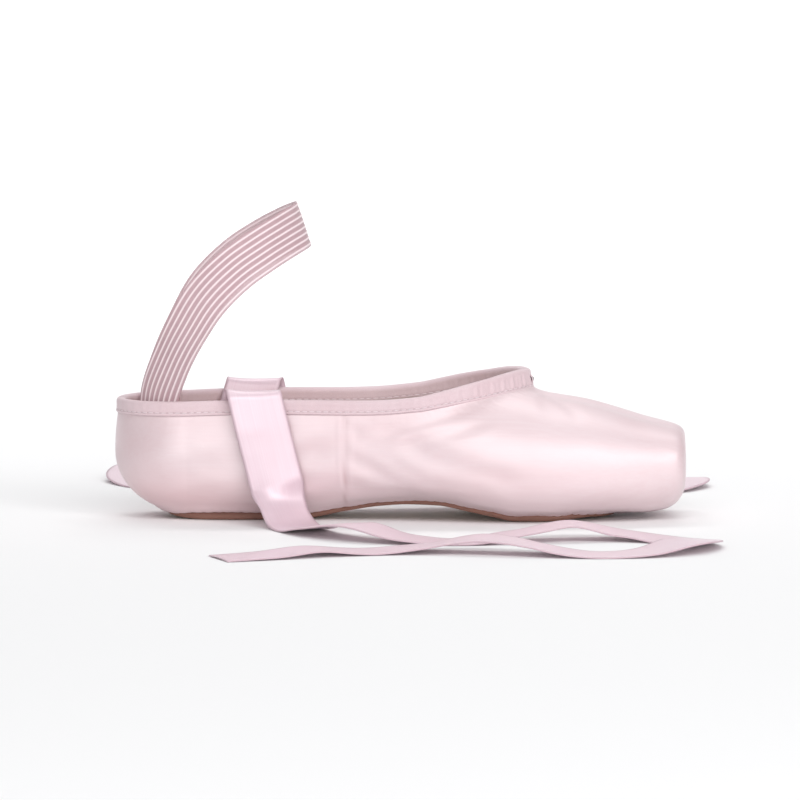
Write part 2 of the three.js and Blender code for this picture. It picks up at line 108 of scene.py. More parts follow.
def there_and_back(values: Array) -> Array:
    """Follows a row of numbers with the same row reversed, as on the two faces of a sheet."""
    return np.concatenate([values, values[::-1]])


def mirrored(half: Array, turn: Array | float = MIRROR) -> Array:
    """Completes a loop from a half with both ends on the middle plane; for numbers, the turn is 1."""
    return np.concatenate([half, half[1:-1][::-1] * turn], axis=0)


def unit(vectors: Array) -> Array:
    """Scales vectors, along the last axis, to length 1."""
    return vectors / np.maximum(np.linalg.norm(vectors, axis=-1, keepdims=True), 1e-12)


def reach_along(line: Array) -> Array:
    """Gives how far along a line each of its points lies."""
    return np.concatenate([[0], np.cumsum(np.linalg.norm(np.diff(line, axis=0), axis=1))])


def points_at(line: Array, places: Array) -> Array:
    """Gives the points that lie at given lengths along a line."""
    reach = reach_along(line)
    return np.stack([np.interp(places, reach, line[:, axis]) for axis in range(3)], axis=-1)


def circle(angles: Array, first: Array, second: Array) -> Array:
    """Gives points of a circle of radius 1 in the plane of two directions."""
    return np.cos(angles)[:, None] * first + np.sin(angles)[:, None] * second


def spread(points: Array, count: int, bend_length: float) -> Array:
    """Shares the places along a line so that bends get more of them.

    Args:
        points: the line's points, which lie at even values of its parameter.
        count: how many places are wanted.
        bend_length: the length that a bend of one radian counts for, in mm.

    Returns:
        The parameter from 0 to 1 of each place.
    """
    steps = np.diff(points, axis=0)
    ways = unit(steps)
    turns = np.zeros(len(steps))
    turns[1:] = np.arccos(np.clip(np.sum(ways[1:] * ways[:-1], axis=1), -1, 1))
    reach = np.concatenate([[0], np.cumsum(np.linalg.norm(steps, axis=1) + bend_length * turns)])
    return np.interp(np.linspace(0, reach[-1], count), reach, np.linspace(0, 1, len(points)))


@dataclass(frozen=True)
class Swell:
    """A rounded rise about a place, or a hollow where its height is below zero."""

    height: float
    centre: float
    width: float

    def __call__(self, place: Array) -> Array:
        """Gives the swell's height at each place."""
        return self.height * hill(place, self.centre, self.width)


@dataclass(frozen=True)
class Wave:
    """A wave along a line, in radians to a mm. Where it sways, its beat wanders as that of hand work does."""

    beat: float
    phase: float = 0.0
    sway: float = 0.0
    drift: float = 0.0

    def __call__(self, reach: Array) -> Array:
        """Gives the wave, from -1 to 1, at each length along the line."""
        return np.sin(reach * self.beat + self.phase + self.sway * np.sin(reach * self.drift))


class SmoothColumn:
    """A smooth function through one column of a table, which never overshoots its rows."""

    CHARTED = 2400

    def __init__(self, at: Sequence[float], value: Sequence[float]) -> None:
        """Charts the column finely, so that it can be read for many places at once.

        Args:
            at: the place of each row, rising.
            value: the column's value in each row.
        """
        at, value = np.asarray(at, float), np.asarray(value, float)
        slope = np.diff(value) / np.diff(at)
        before = np.concatenate([slope[:1], slope])
        after = np.concatenate([slope, slope[-1:]])
        agree = before * after > 0
        total = np.where(agree, before + after, 1.0)
        tangent = np.where(agree, 2 * before * after / total, 0.0)
        self.at = np.linspace(at[0], at[-1], self.CHARTED)
        row = np.clip(np.searchsorted(at, self.at, side="right") - 1, 0, len(at) - 2)
        span = at[row + 1] - at[row]
        t = (self.at - at[row]) / span
        rest = 1 - t
        leaving = (1 + 2 * t) * value[row] + t * span * tangent[row]
        arriving = (3 - 2 * t) * value[row + 1] - rest * span * tangent[row + 1]
        self.value = rest**2 * leaving + t**2 * arriving

    def __call__(self, place: Array | float) -> Array:
        """Reads the column at each place, held at the ends of the table."""
        return np.interp(place, self.at, self.value)


class SmoothRoute:
    """A smooth curve through given points, with centripetal spacing."""

    STEPS_BETWEEN = 24

    def __init__(self, points: Sequence[Point]) -> None:
        """Keeps the points that the curve passes through, with one more beyond each end."""
        inner = np.asarray(points, float)
        self.points = np.vstack([2 * inner[0] - inner[1], inner, 2 * inner[-1] - inner[-2]])

    def __call__(self, count: int) -> Array:
        """Places points along the curve at even lengths.

        Args:
            count: how many points.

        Returns:
            An array of that many points.
        """
        fine = []
        t = np.linspace(0, 1, self.STEPS_BETWEEN, endpoint=False)[:, None]
        for a, b, c, d in zip(self.points, self.points[1:], self.points[2:], self.points[3:]):
            first, second, third = (math.sqrt(np.linalg.norm(q - p)) for p, q in ((a, b), (b, c), (c, d)))
            start = ((b - a) / first - (c - a) / (first + second) + (c - b) / second) * second
            end = ((c - b) / second - (d - b) / (second + third) + (d - c) / third) * second
            curved = 3 * (c - b) - 2 * start - end
            fine.append(b + start * t + curved * t**2 + (2 * (b - c) + start + end) * t**3)
        line = np.vstack([*fine, self.points[-2]])
        return points_at(line, np.linspace(0, reach_along(line)[-1], count))


# ----------------------------------------------------------------------------------------------- meshes

# A tube swells from its ends like part of a half wave, raised to a power that keeps it full.
TUBE_END = 0.12
TUBE_FULLNESS = 0.4
# A tube steeper than this is turned about the shoe's length, and any other about its height.
STEEP = 0.9


def grid_faces(rows: int, columns: int, rows_close: bool) -> Array:
    """Numbers the quads of a grid of points, in which the last point of each row joins the first.

    Args:
        rows: how many rows of points.
        columns: how many points in a row.
        rows_close: True where the last row joins the first.

    Returns:
        An array with four point numbers for each quad.
    """
    i = np.arange(rows if rows_close else rows - 1)[:, None]
    j = np.arange(columns)[None, :]
    i_next, j_next = (i + 1) % rows, (j + 1) % columns
    corners = [i * columns + j, i_next * columns + j, i_next * columns + j_next, i * columns + j_next]
    return np.stack(corners, axis=-1).reshape(-1, 4)


def enclosed(points: Array, faces: Array) -> float:
    """Measures the volume within quads, which is below zero where they face inwards."""
    a, b, c, d = (points[faces[:, k]] for k in range(4))
    return float(np.sum(a * np.cross(b, c)) + np.sum(a * np.cross(c, d))) / 6.0


def in_metres(points: Array) -> Array:
    """Moves points from mm from the heel to metres from the shoe's middle."""
    return (points - FORWARDS * LENGTH / 2) * MM


def add_object(name: str, data: bpy.types.ID) -> Piece:
    """Puts an object in the scene.

    Args:
        name: the object's name.
        data: its mesh, light or camera.

    Returns:
        The new object.
    """
    piece = bpy.data.objects.new(name, data)
    bpy.context.scene.collection.objects.link(piece)
    return piece


def add_mesh(name: str, points: Array, faces: Sequence[Sequence[int]]) -> Piece:
    """Makes a smooth-shaded object.

    Args:
        name: the object's name.
        points: its points, in metres.
        faces: the point numbers of each face.

    Returns:
        The new object.
    """
    mesh = bpy.data.meshes.new(name)
    mesh.from_pydata(points.tolist(), [], faces)
    mesh.validate()
    mesh.shade_smooth()
    return add_object(name, mesh)


def grid_mesh(name: str, grid: Array, rows_close: bool) -> Piece:
    """Makes a closed object of quads from a grid of points, turned so that they face outwards.

    Args:
        name: the object's name.
        grid: rows of points in mm from the heel; the last point of each row joins the first.
        rows_close: True where the last row joins the first. Elsewhere both end rows are capped.

    Returns:
        The new object.
    """
    rows, columns = grid.shape[:2]
    flat = grid.reshape(-1, 3)
    quads = grid_faces(rows, columns, rows_close)
    faces = quads.tolist()
    if not rows_close:
        final = (rows - 1) * columns
        faces += [list(range(columns)), list(range(final, final + columns))[::-1]]
    if enclosed(flat, quads) < 0:
        faces = [face[::-1] for face in faces]
    return add_mesh(name, in_metres(flat), faces)


def mask(piece: Piece, name: str, values: Array) -> None:
    """Writes a number for each point of a piece, which its finish can read."""
    layer = piece.data.attributes.new(name, "FLOAT", "POINT")
    layer.data.foreach_set("value", np.asarray(values, np.float32).ravel())


def tubes(name: str, runs: Sequence[tuple[Array, float]], sides: int = 6) -> Piece:
    """Joins many short closed tubes, such as stitches, into one object.

    Args:
        name: the object's name.
        runs: the middle line and the radius of each tube, in mm.
        sides: how many sides a tube has.

    Returns:
        The new object.
    """
    points: list[Array] = []
    faces: list[list[int]] = []
    start = 0
    angles = np.arange(sides) * (2 * math.pi / sides)
    for line, radius in runs:
        along = unit(np.gradient(line, axis=0))
        steep = np.abs(along[:, 2:3]) > STEEP
        aside = unit(np.cross(along, np.where(steep, FORWARDS, UP)))
        ring = circle(angles, aside[:, None], np.cross(aside, along)[:, None])
        half_wave = np.sin(np.linspace(TUBE_END, 1 - TUBE_END, len(line)) * math.pi)
        swell = radius * half_wave**TUBE_FULLNESS
        points.append((line[:, None] + ring * swell[:, None, None]).reshape(-1, 3))
        final = start + (len(line) - 1) * sides
        faces += (grid_faces(len(line), sides, False) + start).tolist()
        faces += [list(range(start, start + sides)), list(range(final, final + sides))[::-1]]
        start = final + sides
    return add_mesh(name, in_metres(np.vstack(points)), faces)


# ------------------------------------------------------------------------------------------------- last


@dataclass(frozen=True)
class Section:
    """One section of the last: a row of the table that its form comes from."""

    from_heel: float
    half_width: float
    widest: float
    crown: float
    under: float
    top_squareness: float
    under_squareness: float
    wall: float


LAST_SECTIONS = (
    Section(30, 27.6, 27.5, 84, 2.3, 2.0, 3.0, 1.6),
    Section(38, 28.4, 26.5, 86, 2.1, 2.0, 3.0, 1.6),
    Section(75, 30.6, 24.0, 92, 2.1, 2.0, 2.8, 1.6),
    Section(95, 32.4, 23.0, 88.5, 5.3, 2.0, 2.6, 1.6),
    Section(109, 34.4, 22.4, 82, 7.4, 2.05, 2.6, 1.6),
    Section(121, 36.7, 22.0, 74.2, 8.2, 2.1, 2.6, 1.6),
    Section(133, 39.2, 21.5, 65.6, 8.0, 2.1, 2.7, 1.7),
    Section(145, 41.4, 21.0, 59.2, 5.9, 2.1, 2.8, 1.8),
    Section(155, 42.5, 20.5, 55.9, 4.0, 2.1, 2.9, 2.0),
    Section(165, 43.0, 20.0, 54.3, 2.1, 2.1, 3.0, 2.1),
    Section(172, 42.9, 19.7, 52.9, 2.1, 2.15, 3.0, 2.3),
    Section(178, 42.3, 19.5, 50.9, 2.1, 2.2, 3.0, 2.4),
    Section(195, 39.0, 19.0, 47.8, 2.9, 2.3, 2.8, 2.6),
    Section(206, 35.9, 19.0, 44.8, 2.8, 2.4, 2.6, 2.6),
    Section(218, 32.0, 20.0, 41.1, 2.3, 2.5, 2.5, 2.6),
    Section(226, 29.2, 21.0, 39.0, 3.4, 2.6, 2.4, 2.6),
    Section(231, 27.6, 22.0, 37.8, 5.6, 2.6, 2.4, 2.6),
    Section(235, 26.4, 23.0, 36.9, 9.5, 2.6, 2.4, 2.6),
)

# The collar's lower line: from heel, out, height.
COLLAR_STATIONS = (
    (30, 26.6, 44.0), (75, 29.4, 45.0), (100, 31.4, 45.0), (115, 32.6, 45.4), (125, 32.8, 46.1),
    (135, 31.3, 47.5), (145, 27.9, 49.2), (155, 22.3, 51.0), (162, 16.8, 52.3), (167, 11.2, 52.9),
    (170, 6.4, 53.0), (171.6, 2.6, 53.0), (172, 0, 53.0),
)

# The leather sole's outline: from heel, out.
SOLE_STATIONS = (
    (21, 0), (23, 6.6), (28, 12.4), (38, 16.2), (50, 17.0), (75, 14.8), (98, 12.8), (120, 14.6),
    (143, 20.6), (160, 24.6), (172, 25.2), (185, 22.6), (195, 17.6), (202, 11.2), (205, 5.6), (206, 0),
)


@dataclass
class Last:
    """The straight last that the shoe is made on. Depth is 0 on the wall's outer face and 1 on its inner."""

    SLOPE_STEPS = np.eye(3) * 0.05

    sections: Sequence[Section] = LAST_SECTIONS
    heel_centre: float = 30.0
    toe_start: float = 222.0
    platform_squareness: float = 8.0
    platform_wall: float = 4.0
    longest_way: float = 130.0
    halvings: int = 26
    columns: dict[str, SmoothColumn] = field(init=False)

    def __post_init__(self) -> None:
        """Charts each column of the table of sections."""
        at = [row.from_heel for row in self.sections]
        self.columns = {}
        for column in fields(Section)[1:]:
            values = [getattr(row, column.name) for row in self.sections]
            self.columns[column.name] = SmoothColumn(at, values)

    def read(self, name: str, from_heel: Array | float) -> Array:
        """Reads one of the last's sizes at a place along it."""
        return self.columns[name](from_heel)

    def _behind_heel(self, x: Array, wall: Array) -> Array:
        """Gives how far places lie behind the heel's centre, as a share of the heel's radius."""
        return np.maximum(0, self.heel_centre - x) / (self.heel_centre - wall)

    def norm(self, points: Array, depth: float) -> Array:
        """Tells how far out points lie: less than 1 inside the last, 1 on its surface.

        Args:
            points: places in mm.
            depth: the face of the wall, from 0 outside to 1 inside.

        Returns:
            One number for each point.
        """
        x, y, z = (points[..., axis] for axis in range(3))
        wall = depth * self.read("wall", x)
        toe = np.maximum(0, x - self.toe_start) / (LENGTH - self.toe_start - depth * self.platform_wall)
        widest = self.read("widest", x)
        above = z > widest
        room = np.where(above, self.read("crown", x) - widest, widest - self.read("under", x)) - wall
        square = np.where(above, self.read("top_squareness", x), self.read("under_squareness", x))
        rise = np.abs(z - widest) / room
        across = np.abs(y) / (self.read("half_width", x) - wall)
        section = (across**square + rise**square) ** (1 / square)
        closed = np.hypot(section, self._behind_heel(x, wall))
        edge = self.platform_squareness
        return (closed**edge + toe**edge) ** (1 / edge)

    def cast(self, pivot: Array, guide: Array, depth: float = 0.0) -> Array:
        """Finds the surface seen from places on the last's spine.

        Args:
            pivot: the places to look from.
            guide: the places to look towards.
            depth: the face of the wall, from 0 outside to 1 inside.

        Returns:
            The surface point in each direction.
        """
        way = unit(guide - pivot)
        near = np.zeros(way.shape[:-1])
        far = np.full(way.shape[:-1], self.longest_way)
        for _ in range(self.halvings):
            middle = (near + far) / 2
            within = self.norm(pivot + way * middle[..., None], depth) < 1
            near = np.where(within, middle, near)
            far = np.where(within, far, middle)
        return pivot + way * near[..., None]

    def normal(self, points: Array) -> Array:
        """Gives the outward direction of the outer face at points on it."""
        slopes = [self.norm(points + step, 0) - self.norm(points - step, 0) for step in self.SLOPE_STEPS]
        return unit(np.stack(slopes, axis=-1))

    def underside(self, x: Array, y: Array, depth: float = 0.0) -> Array:
        """Gives the height of the underside of the upper's wall.

        Args:
            x: places from the heel.
            y: places from the middle plane.
            depth: the face of the wall, from 0 outside to 1 inside.

        Returns:
            The height at each place.
        """
        wall = depth * self.read("wall", x)
        square = self.read("under_squareness", x)
        room = np.maximum(1 - self._behind_heel(x, wall) ** 2, 0) ** (square / 2)
        across = (np.abs(y) / (self.read("half_width", x) - wall)) ** square
        drop = self.read("widest", x) - self.read("under", x) - wall
        return self.read("widest", x) - drop * np.maximum(0, room - across) ** (1 / square)


@dataclass
class Collar:
    """The collar loop and the guide lines that run down the last from it to the edge under the foot.

    A guide line is looked for from its pivot on the last's spine. It runs from its start at the collar, past
    its widest place, to its end under the foot.
    """

    last: Last
    fineness: int = 8
    heel_steps: int = 7
    side_steps: int = 8
    toe_steps: int = 21
    toe_from: float = 118.0
    under_from: float = 40.0
    under_heel_radius: float = 13.5
    heel_share: float = 0.97
    heel_height: float = 43.6
    spine_end: float = 195.0
    spine_height: float = 24.0
    spine_ease: float = 0.8
    platform_turn: float = 2.2
    tip_turn: float = 3.0
    toe_bend: float = 8.0
    line_bend: float = 10.0
    coarse_places: int = 120
    coarse_rows: int = 70
    lasting_margin: float = 5.0
    sole_tip: float = 206.0
    inside: float = 80.0
    band_height: float = 6.0
    throat_band_height: float = 8.6
    band_lean: float = 0.12
    throat_band_lean: float = 0.26
    half_at: SmoothColumn = field(init=False)
    height_at: SmoothColumn = field(init=False)
    sole_half: SmoothColumn = field(init=False)
    pivot: Array = field(init=False)
    start: Array = field(init=False)
    widest: Array = field(init=False)
    under: Array = field(init=False)
    foot: Array = field(init=False)
    up: Array = field(init=False)
    outward: Array = field(init=False)
    height: Array = field(init=False)
    to_throat: Array = field(init=False)

    def __post_init__(self) -> None:
        """Lays the guide lines of the half loop from heel to toe, then works out the collar's frames."""
        from_heel, out, height = zip(*COLLAR_STATIONS)
        self.half_at = SmoothColumn(from_heel, out)
        self.height_at = SmoothColumn(from_heel, height)
        self.sole_half = SmoothColumn(*zip(*SOLE_STATIONS))
        parts = [self._heel_lines(), self._side_lines(), self._toe_lines()]
        self.pivot, self.start, self.widest, self.under = (np.vstack(part) for part in zip(*parts))
        self._frames()

    def _rim(self, x: Array) -> Array:
        """Gives points of the collar's lower line, for places along the shoe."""
        return np.stack([x, self.half_at(x), self.height_at(x)], axis=1)

    def _opening(self, x: Array) -> Array:
        """Gives the half width of the opening under the foot."""
        return np.maximum(0, self.sole_half(x) - self.lasting_margin)

    def _edge(self, x: Array, y: Array) -> Array:
        """Gives points on the underside, for places in plan."""
        return np.stack([x, y, self.last.underside(x, y)], axis=1)

    def _heel_lines(self) -> tuple[Array, ...]:
        """Fans the lines round the heel.

        Returns:
            The pivot, start, widest place and end of each line.
        """
        last, count = self.last, self.heel_steps * self.fineness
        angle = np.arange(count) / count * (math.pi / 2)
        back, side = np.cos(angle), np.sin(angle)
        flat = np.zeros(count)
        centre = last.heel_centre
        widest = flat + last.read("widest", centre)
        height = self.height_at(centre) + (self.heel_height - self.height_at(centre)) * back
        under_x = self.under_from - self.under_heel_radius * back
        return (
            np.stack([flat + centre, flat, widest], axis=1),
            np.stack([centre * (1 - self.heel_share * back), self.half_at(centre) * side, height], axis=1),
            np.stack([centre * (1 - back), last.read("half_width", centre) * side, widest], axis=1),
            self._edge(under_x, self._opening(self.under_from) * side),
        )

    def _side_lines(self) -> tuple[Array, ...]:
        """Runs the lines along the sides.

        Returns:
            The pivot, start, widest place and end of each line.
        """
        last, count = self.last, self.side_steps * self.fineness
        share = np.arange(count) / count
        x = last.heel_centre + (self.toe_from - last.heel_centre) * share
        under_x = self.under_from + (self.toe_from - self.under_from) * share
        widest = last.read("widest", x)
        return (
            np.stack([x, 0 * x, widest], axis=1),
            self._rim(x),
            np.stack([x, last.read("half_width", x), widest], axis=1),
            self._edge(under_x, self._opening(under_x)),
        )

    def _toe_lines(self) -> tuple[Array, ...]:
        """Fans the lines from the side, over the vamp and the wings, to the middle of the toe.

        Returns:
            The pivot, start, widest place and end of each line.
        """
        count = (self.toe_steps - 1) * self.fineness + 1
        even = np.linspace(0, 1, self.coarse_places)
        runs = (self._throat_at, self._outline_at, self._under_at)
        placed = [run(spread(run(even), count, self.toe_bend)) for run in runs]
        share = np.linspace(0, 1, count)
        pivot_x = self.toe_from + (self.spine_end - self.toe_from) * share**self.spine_ease
        widest = self.last.read("widest", self.toe_from)
        pivot_z = widest + (self.spine_height - widest) * share
        return (np.stack([pivot_x, 0 * share, pivot_z], axis=1), *placed)

    def _slowing(self, end: float, share: Array) -> Array:
        """Gives places from the side to an end at the toe, closer together towards the end."""
        return end - (end - self.toe_from) * (1 - share) ** 2

    def _throat_at(self, share: Array) -> Array:
        """Gives places along the throat, at shares of the way to its middle."""
        return self._rim(self._slowing(COLLAR_STATIONS[-1][0], share))

    def _outline_at(self, share: Array) -> Array:
        """Gives places along the widest outline, round the platform's corner.

        Args:
            share: how far along each lies, from 0 at the side to 1 in the middle of the platform.

        Returns:
            A point for each share.
        """
        x = self._slowing(LENGTH, share)
        y = self.last.read("half_width", x) * np.minimum(1, self.platform_turn * (1 - share))
        guide = np.stack([x, y, self.last.read("widest", x)], axis=1)
        return self.last.cast(np.broadcast_to([self.spine_end, 0, self.spine_height], guide.shape), guide)

    def _under_at(self, share: Array) -> Array:
        """Gives places along the edge under the foot, at shares of the way to its tip."""
        x = self._slowing(self.sole_tip - self.lasting_margin, share)
        return self._edge(x, self._opening(x) * np.minimum(1, self.tip_turn * (1 - share)))

    def _frames(self) -> None:
        """Works out the band's lower line, the way up it, its outward direction and its height."""
        self.foot = self.last.cast(self.pivot, self.start)
        beyond = self.foot[[1, -2]] * MIRROR
        along = unit(np.vstack([self.foot[1:], beyond[1:]]) - np.vstack([beyond[:1], self.foot[:-1]]))
        inward = unit(np.cross(UP, along))
        towards = FORWARDS * self.inside - self.foot
        inward *= np.where(np.sum(inward * towards, axis=1, keepdims=True) < 0, -1, 1)
        self.to_throat = ramp(self.foot[:, 0], self.toe_from, self.foot[-1, 0])
        lean = self.band_lean + (self.throat_band_lean - self.band_lean) * self.to_throat
        self.up = unit(UP + inward * lean[:, None])
        outward = unit(np.cross(along, self.up))
        self.outward = outward * np.where(np.sum(outward * inward, axis=1, keepdims=True) > 0, -1, 1)
        self.height = self.band_height + (self.throat_band_height - self.band_height) * self.to_throat

    def on_band(self, out: Array | float, height: Array | float) -> Array:
        """Gives points so far out of the upper's outer face, and so far up from the band's lower line."""
        out, height = (np.broadcast_to(number, len(self.foot))[:, None] for number in (out, height))
        return self.foot + self.outward * out + self.up * height

    def up_band(self, out: float, shares: Sequence[float], below: float) -> Array:
        """Gives rows of points up the band, at shares of the height that ends so far below its top."""
        return np.stack([self.on_band(out, share * (self.height - below)) for share in shares], axis=1)

    def _down(self, start: Array, depth: float, shares: Array) -> Array:
        """Gives the surface at shares of the way down each guide line.

        Args:
            start: the first point of each line.
            depth: the face of the wall, from 0 outside to 1 inside.
            shares: one row of shares for each line.

        Returns:
            An array of lines by rows of points.
        """
        bend = (2 * self.widest - 0.5 * (start + self.under))[:, None]
        t = shares[..., None]
        guide = start[:, None] * (1 - t) ** 2 + bend * 2 * t * (1 - t) + self.under[:, None] * t**2
        return self.last.cast(np.broadcast_to(self.pivot[:, None], guide.shape), guide, depth)

    def profile(self, start: Array, depth: float, rows: int) -> Array:
        """Runs each guide line down one face of the wall, with more points where it bends.

        Args:
            start: the first point of each line.
            depth: the face of the wall, from 0 outside to 1 inside.
            rows: how many points a line gets.

        Returns:
            An array of lines by rows of points.
        """
        even = np.broadcast_to(np.linspace(0, 1, self.coarse_rows), (len(start), self.coarse_rows))
        shares = [spread(line, rows, self.line_bend) for line in self._down(start, depth, even)]
        return self._down(start, depth, np.stack(shares))


# --------------------------------------------------------------------------------------------- finishes


def toned(colour: Colour, share: float) -> Colour:
    """Makes a colour darker, or lighter where the share is more than 1."""
    return tuple(min(1.0, share * part) for part in colour)


class Recipe:
    """A material under construction: short ways to add and join shader nodes."""

    # The sockets of the colour mix by number, since several share a name.
    MIX_SHARE, MIX_FIRST, MIX_SECOND, MIXED = 0, 6, 7, 2

    def __init__(self, name: str) -> None:
        """Starts a material with a plain shader.

        Args:
            name: the material's name.
        """
        self.material = bpy.data.materials.new(name)
        self.material.use_nodes = True
        self.tree = self.material.node_tree
        self.shader = self.tree.nodes["Principled BSDF"]
        self.place = self.add("ShaderNodeTexCoord").outputs["Object"]

    def plug(self, socket: Socket, value: object) -> None:
        """Fills a socket.

        Args:
            socket: the socket.
            value: a plain value, or another node's output, which is joined to it.
        """
        if isinstance(value, Socket):
            self.tree.links.new(value, socket)
        else:
            socket.default_value = value

    def add(
        self, kind: str, inputs: dict[str | int, object] | None = None, **settings: object
    ) -> bpy.types.Node:
        """Adds a node.

        Args:
            kind: Blender's name for the node's type.
            inputs: what each socket holds: a value, or another node's output.
            settings: the node's own settings.

        Returns:
            The new node.
        """
        node = self.tree.nodes.new(kind)
        for key, value in settings.items():
            setattr(node, key, value)
        for key, value in (inputs or {}).items():
            self.plug(node.inputs[key], value)
        return node

    def set(self, **values: object) -> None:
        """Fills the shader's sockets; an underscore in a name stands for a space."""
        for key, value in values.items():
            self.plug(self.shader.inputs[key.replace("_", " ")], value)

    def mask(self, name: str) -> Socket:
        """Gives one of the piece's masks."""
        return self.add("ShaderNodeAttribute", attribute_name=name).outputs["Fac"]

    def noise(self, scale: Point, detail: float = 3.0, roughness: float = 0.5) -> Socket:
        """Adds noise with its own scale along x, y and z.

        Args:
            scale: cycles to a metre in each direction.
            detail: how many finer layers it has.
            roughness: how strong the finer layers are.

        Returns:
            The noise, from 0 to 1.
        """
        mapped = self.add("ShaderNodeMapping", {"Vector": self.place, "Scale": scale}).outputs["Vector"]
        inputs = {"Vector": mapped, "Scale": 1.0, "Detail": detail, "Roughness": roughness}
        return self.add("ShaderNodeTexNoise", inputs).outputs["Fac"]

    def grain(self, scale: float, evenness: float = 0.0) -> Socket:
        """Adds fine cells, so many to a metre, and gives the distance from each one's middle."""
        inputs = {"Vector": self.place, "Scale": scale, "Randomness": 1.0 - evenness}
        return self.add("ShaderNodeTexVoronoi", inputs).outputs["Distance"]

    def math(self, operation: str, a: object, b: object, c: object = 0.0) -> Socket:
        """Adds arithmetic on two or three numbers and gives its result."""
        return self.add("ShaderNodeMath", {0: a, 1: b, 2: c}, operation=operation).outputs[0]

    def remap(self, value: Socket, low: float, high: float, to_low: float = 0, to_high: float = 1) -> Socket:
        """Stretches a range of numbers onto another, and holds it there."""
        inputs = {"Value": value, "From Min": low, "From Max": high, "To Min": to_low, "To Max": to_high}
        return self.add("ShaderNodeMapRange", inputs).outputs["Result"]

    def blend(self, share: Socket, first: Colour | Socket, second: Colour | Socket) -> Socket:
        """Mixes two colours.

        Args:
            share: how much of the second shows, from 0 to 1.
            first: a colour, or another node's output.
            second: the same.

        Returns:
            The mixed colour.
        """
        node = self.add("ShaderNodeMix", {self.MIX_SHARE: share}, data_type="RGBA")
        for index, colour in ((self.MIX_FIRST, first), (self.MIX_SECOND, second)):
            self.plug(node.inputs[index], (*colour, 1.0) if isinstance(colour, tuple) else colour)
        return node.outputs[self.MIXED]

    def mottle(self, coarse: Layer, fine: Layer, span: Sequence[float], colours: Sequence[Colour]) -> Socket:
        """Mixes two colours by the sum of two weighted patterns, stretched from a span of numbers."""
        tone = self.math("MULTIPLY_ADD", *fine, self.math("MULTIPLY", *coarse))
        return self.blend(self.remap(tone, *span), *colours)

    def brush(self, **settings: object) -> None:
        """Turns the shader's gloss along the threads."""
        self.set(Tangent=self.add("ShaderNodeTangent", **settings).outputs["Tangent"])

    def bump(self, *layers: Layer) -> None:
        """Adds relief that is too fine for the mesh.

        Args:
            layers: the height and the depth in mm of each layer.
        """
        normal = {}
        for height, depth in layers:
            inputs = {"Height": height, "Distance": depth * MM, "Strength": 1.0, **normal}
            normal = {"Normal": self.add("ShaderNodeBump", inputs).outputs["Normal"]}
        self.set(**normal)


@dataclass(frozen=True)
class Finish:
    """A finish, which becomes a new material for each piece that it dresses."""

    name: str

    def material(self) -> bpy.types.Material:
        """Builds the material."""
        raise NotImplementedError


@dataclass(frozen=True)
class SatinFinish(Finish):
    """Woven satin with long glossy threads along the shoe, a soft bright sheen, and painted shade from masks.
    """

    bright: Colour
    deep: Colour
    # The colour that the painted shade darkens the satin towards.
    flushed: Colour
    gloss: float = 0.46
    lustre: float = 0.12
    dusk: float = 0.72
    threads: Point = (14.0, 900.0, 900.0)
    cloth: Point = (22.0, 60.0, 60.0)

    def material(self) -> bpy.types.Material:
        """Builds the satin.

        Returns:
            The material.
        """
        recipe = Recipe(self.name)
        threads = recipe.noise(self.threads, 4.0, 0.6)
        cloth = recipe.noise(self.cloth, 2.0)
        woven = recipe.mottle((cloth, 0.45), (threads, 0.35), (0.25, 0.6), (self.deep, self.bright))
        # Painted shade: darker low round the heel and by the ball, and darker still in the folds and along
        # the seam.
        handled = recipe.blend(recipe.mask("handled"), woven, self.flushed)
        recipe.set(
            Base_Color=recipe.blend(recipe.mask("shade"), handled, toned(self.flushed, self.dusk)),
            Roughness=recipe.remap(threads, 0.3, 0.7, self.gloss - 0.05, self.gloss + 0.08),
            Metallic=self.lustre,
            IOR=1.9,
            Specular_IOR_Level=0.9,
            Anisotropic=0.5,
            Coat_Weight=0.4,
            Coat_Roughness=0.4,
            Sheen_Weight=0.15,
            Sheen_Roughness=0.4,
            Sheen_Tint=(0.97, 0.95, 1.0, 1.0),
        )
        recipe.brush(direction_type="RADIAL", axis="X")
        recipe.bump((threads, 0.015), (cloth, 0.3))
        return recipe.material


@dataclass(frozen=True)
class ClothFinish(Finish):
    """Plain woven cloth with a visible weave."""

    bright: Colour
    deep: Colour
    pitch: float = 0.5
    evenness: float = 0.25
    relief: float = 0.05
    rough: float = 0.85
    dusk: float = 0.6
    wear: Point = (40.0, 40.0, 40.0)

    def material(self) -> bpy.types.Material:
        """Builds the cloth.

        Returns:
            The material.
        """
        recipe = Recipe(self.name)
        weave = recipe.grain(1 / (self.pitch * MM), self.evenness)
        wear = recipe.noise(self.wear, 4.0)
        woven = recipe.mottle((wear, 0.6), (weave, 0.3), (0.2, 0.65), (self.deep, self.bright))
        recipe.set(
            Base_Color=recipe.blend(recipe.mask("shade"), woven, toned(self.deep, self.dusk)),
            Roughness=self.rough,
            Sheen_Weight=0.25,
            Sheen_Roughness=0.5,
        )
        recipe.bump((weave, self.relief), (wear, 0.2))
        return recipe.material


